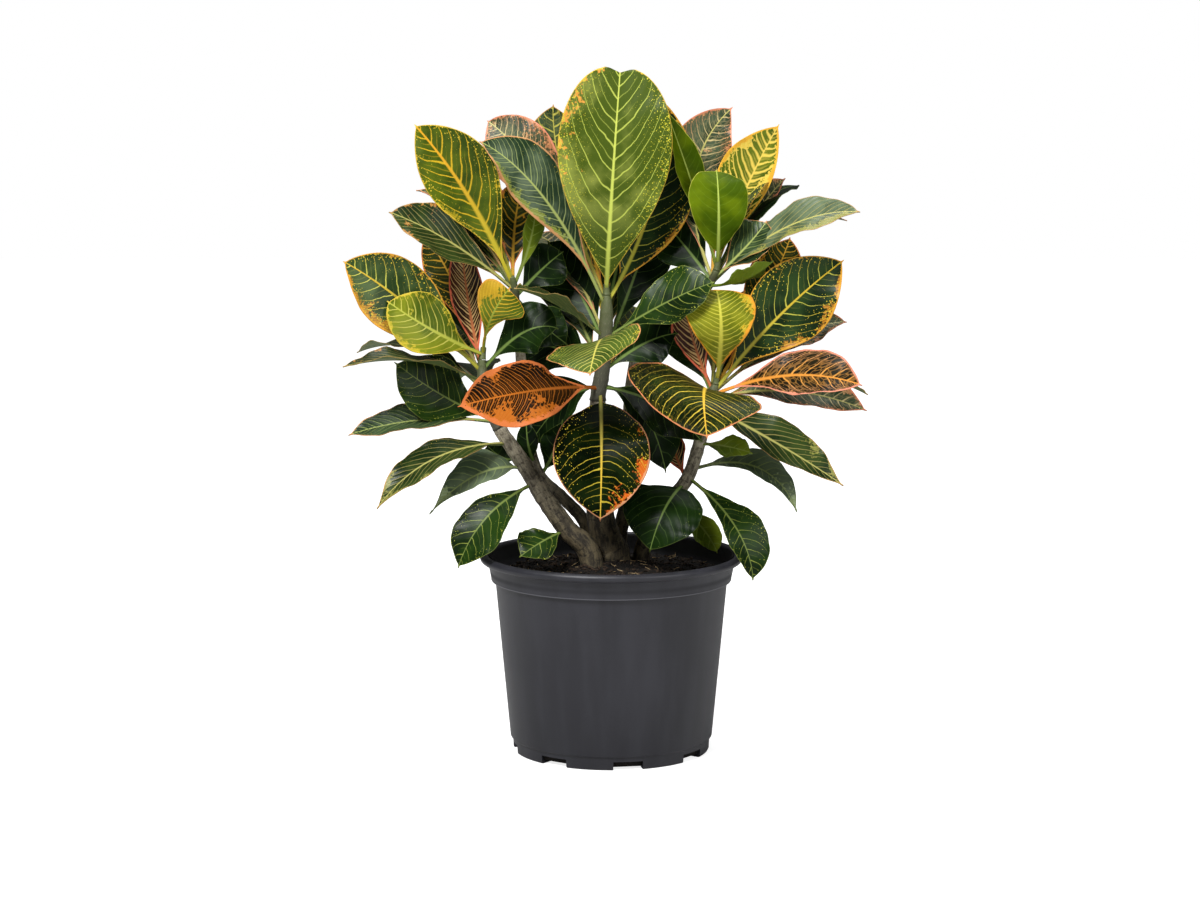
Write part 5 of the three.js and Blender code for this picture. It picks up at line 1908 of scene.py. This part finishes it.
@dataclass(frozen=True)
class Studio:
    """Plain pale floor, soft lights and the camera at the photograph's viewing angle."""

    camera_at: Point = (-0.0092, -2.236, 0.548)
    pitch: float = 82.3
    lens: float = 83.7
    sensor: float = 36.0
    surround: float = 0.08

    def build(self) -> None:
        """Make the floor, the lights, the surround and the camera."""
        self.floor()
        self.light("key_light", (-1.0, -1.8, 2.3), (0, 0, 0.3), 1.0, 108)
        self.light("fill_light", (1.6, -1.4, 1.2), (0, 0, 0.25), 1.3, 20)
        self.light("top_light", (0.1, 0.5, 2.2), (0, 0, 0.3), 1.5, 34)
        world = bpy.data.worlds.new("studio_surround")
        world.use_nodes = True
        g = Graph(world.node_tree)
        seen = g.node("ShaderNodeLightPath").outputs["Is Camera Ray"]
        colour, strength = world.node_tree.nodes["Background"].inputs[:2]
        g.feed(colour, (1, 1, 1, 1))
        g.feed(strength, g.madd(seen, 1 - self.surround, self.surround))
        bpy.context.scene.world = world
        bpy.context.scene.view_settings.view_transform = "Standard"
        data = bpy.data.cameras.new("photo_camera")
        data.lens = self.lens
        data.sensor_width = self.sensor
        camera = add_object("photo_camera", data)
        camera.location = self.camera_at
        camera.rotation_euler = (math.radians(self.pitch), 0, 0)
        bpy.context.scene.camera = camera

    @staticmethod
    def floor() -> None:
        """Make the floor: pale for the light that it throws back, near white as the camera sees it."""
        mesh = bpy.data.meshes.new("studio_floor")
        mesh.from_pydata([(-6, -6, 0), (6, -6, 0), (6, 6, 0), (-6, 6, 0)], [], [(0, 1, 2, 3)])
        made, g, shader = start_material("pale_floor", Roughness=0.7, Specular_IOR_Level=0.1)
        shader.inputs["Base Color"].default_value = (0.5, 0.5, 0.5, 1.0)
        shader.inputs["Emission Color"].default_value = (1.0, 1.0, 1.0, 1.0)
        seen = g.node("ShaderNodeLightPath").outputs["Is Camera Ray"]
        away = g.node("ShaderNodeVectorMath", operation="LENGTH")
        g.feed(away.inputs[0], g.position())
        glow = g.ramp(away.outputs["Value"], 0.2, 0.9, 0.82, 1.0)
        g.feed(shader.inputs["Emission Strength"], g.mul(seen, glow))
        mesh.materials.append(made)
        add_object("studio_floor", mesh)

    @staticmethod
    def light(name: str, place: Point, aim: Point, size: float, power: float) -> None:
        """Add one square soft light.

        Args:
            name: its name.
            place: where it stands, in metres.
            aim: the point that it looks at.
            size: its side in metres.
            power: its power in watts.
        """
        data = bpy.data.lights.new(name, "AREA")
        data.size = size
        data.energy = power
        made = add_object(name, data)
        made.location = place
        made.rotation_euler = (Vector(aim) - Vector(place)).to_track_quat("-Z", "Y").to_euler()


def main() -> None:
    """Build the studio and the plant."""
    logging.basicConfig(level=logging.INFO)
    Studio().build()
    Pot().build()
    Soil().build()
    Foliage().build()
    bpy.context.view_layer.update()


if __name__ == "__main__":
    main()
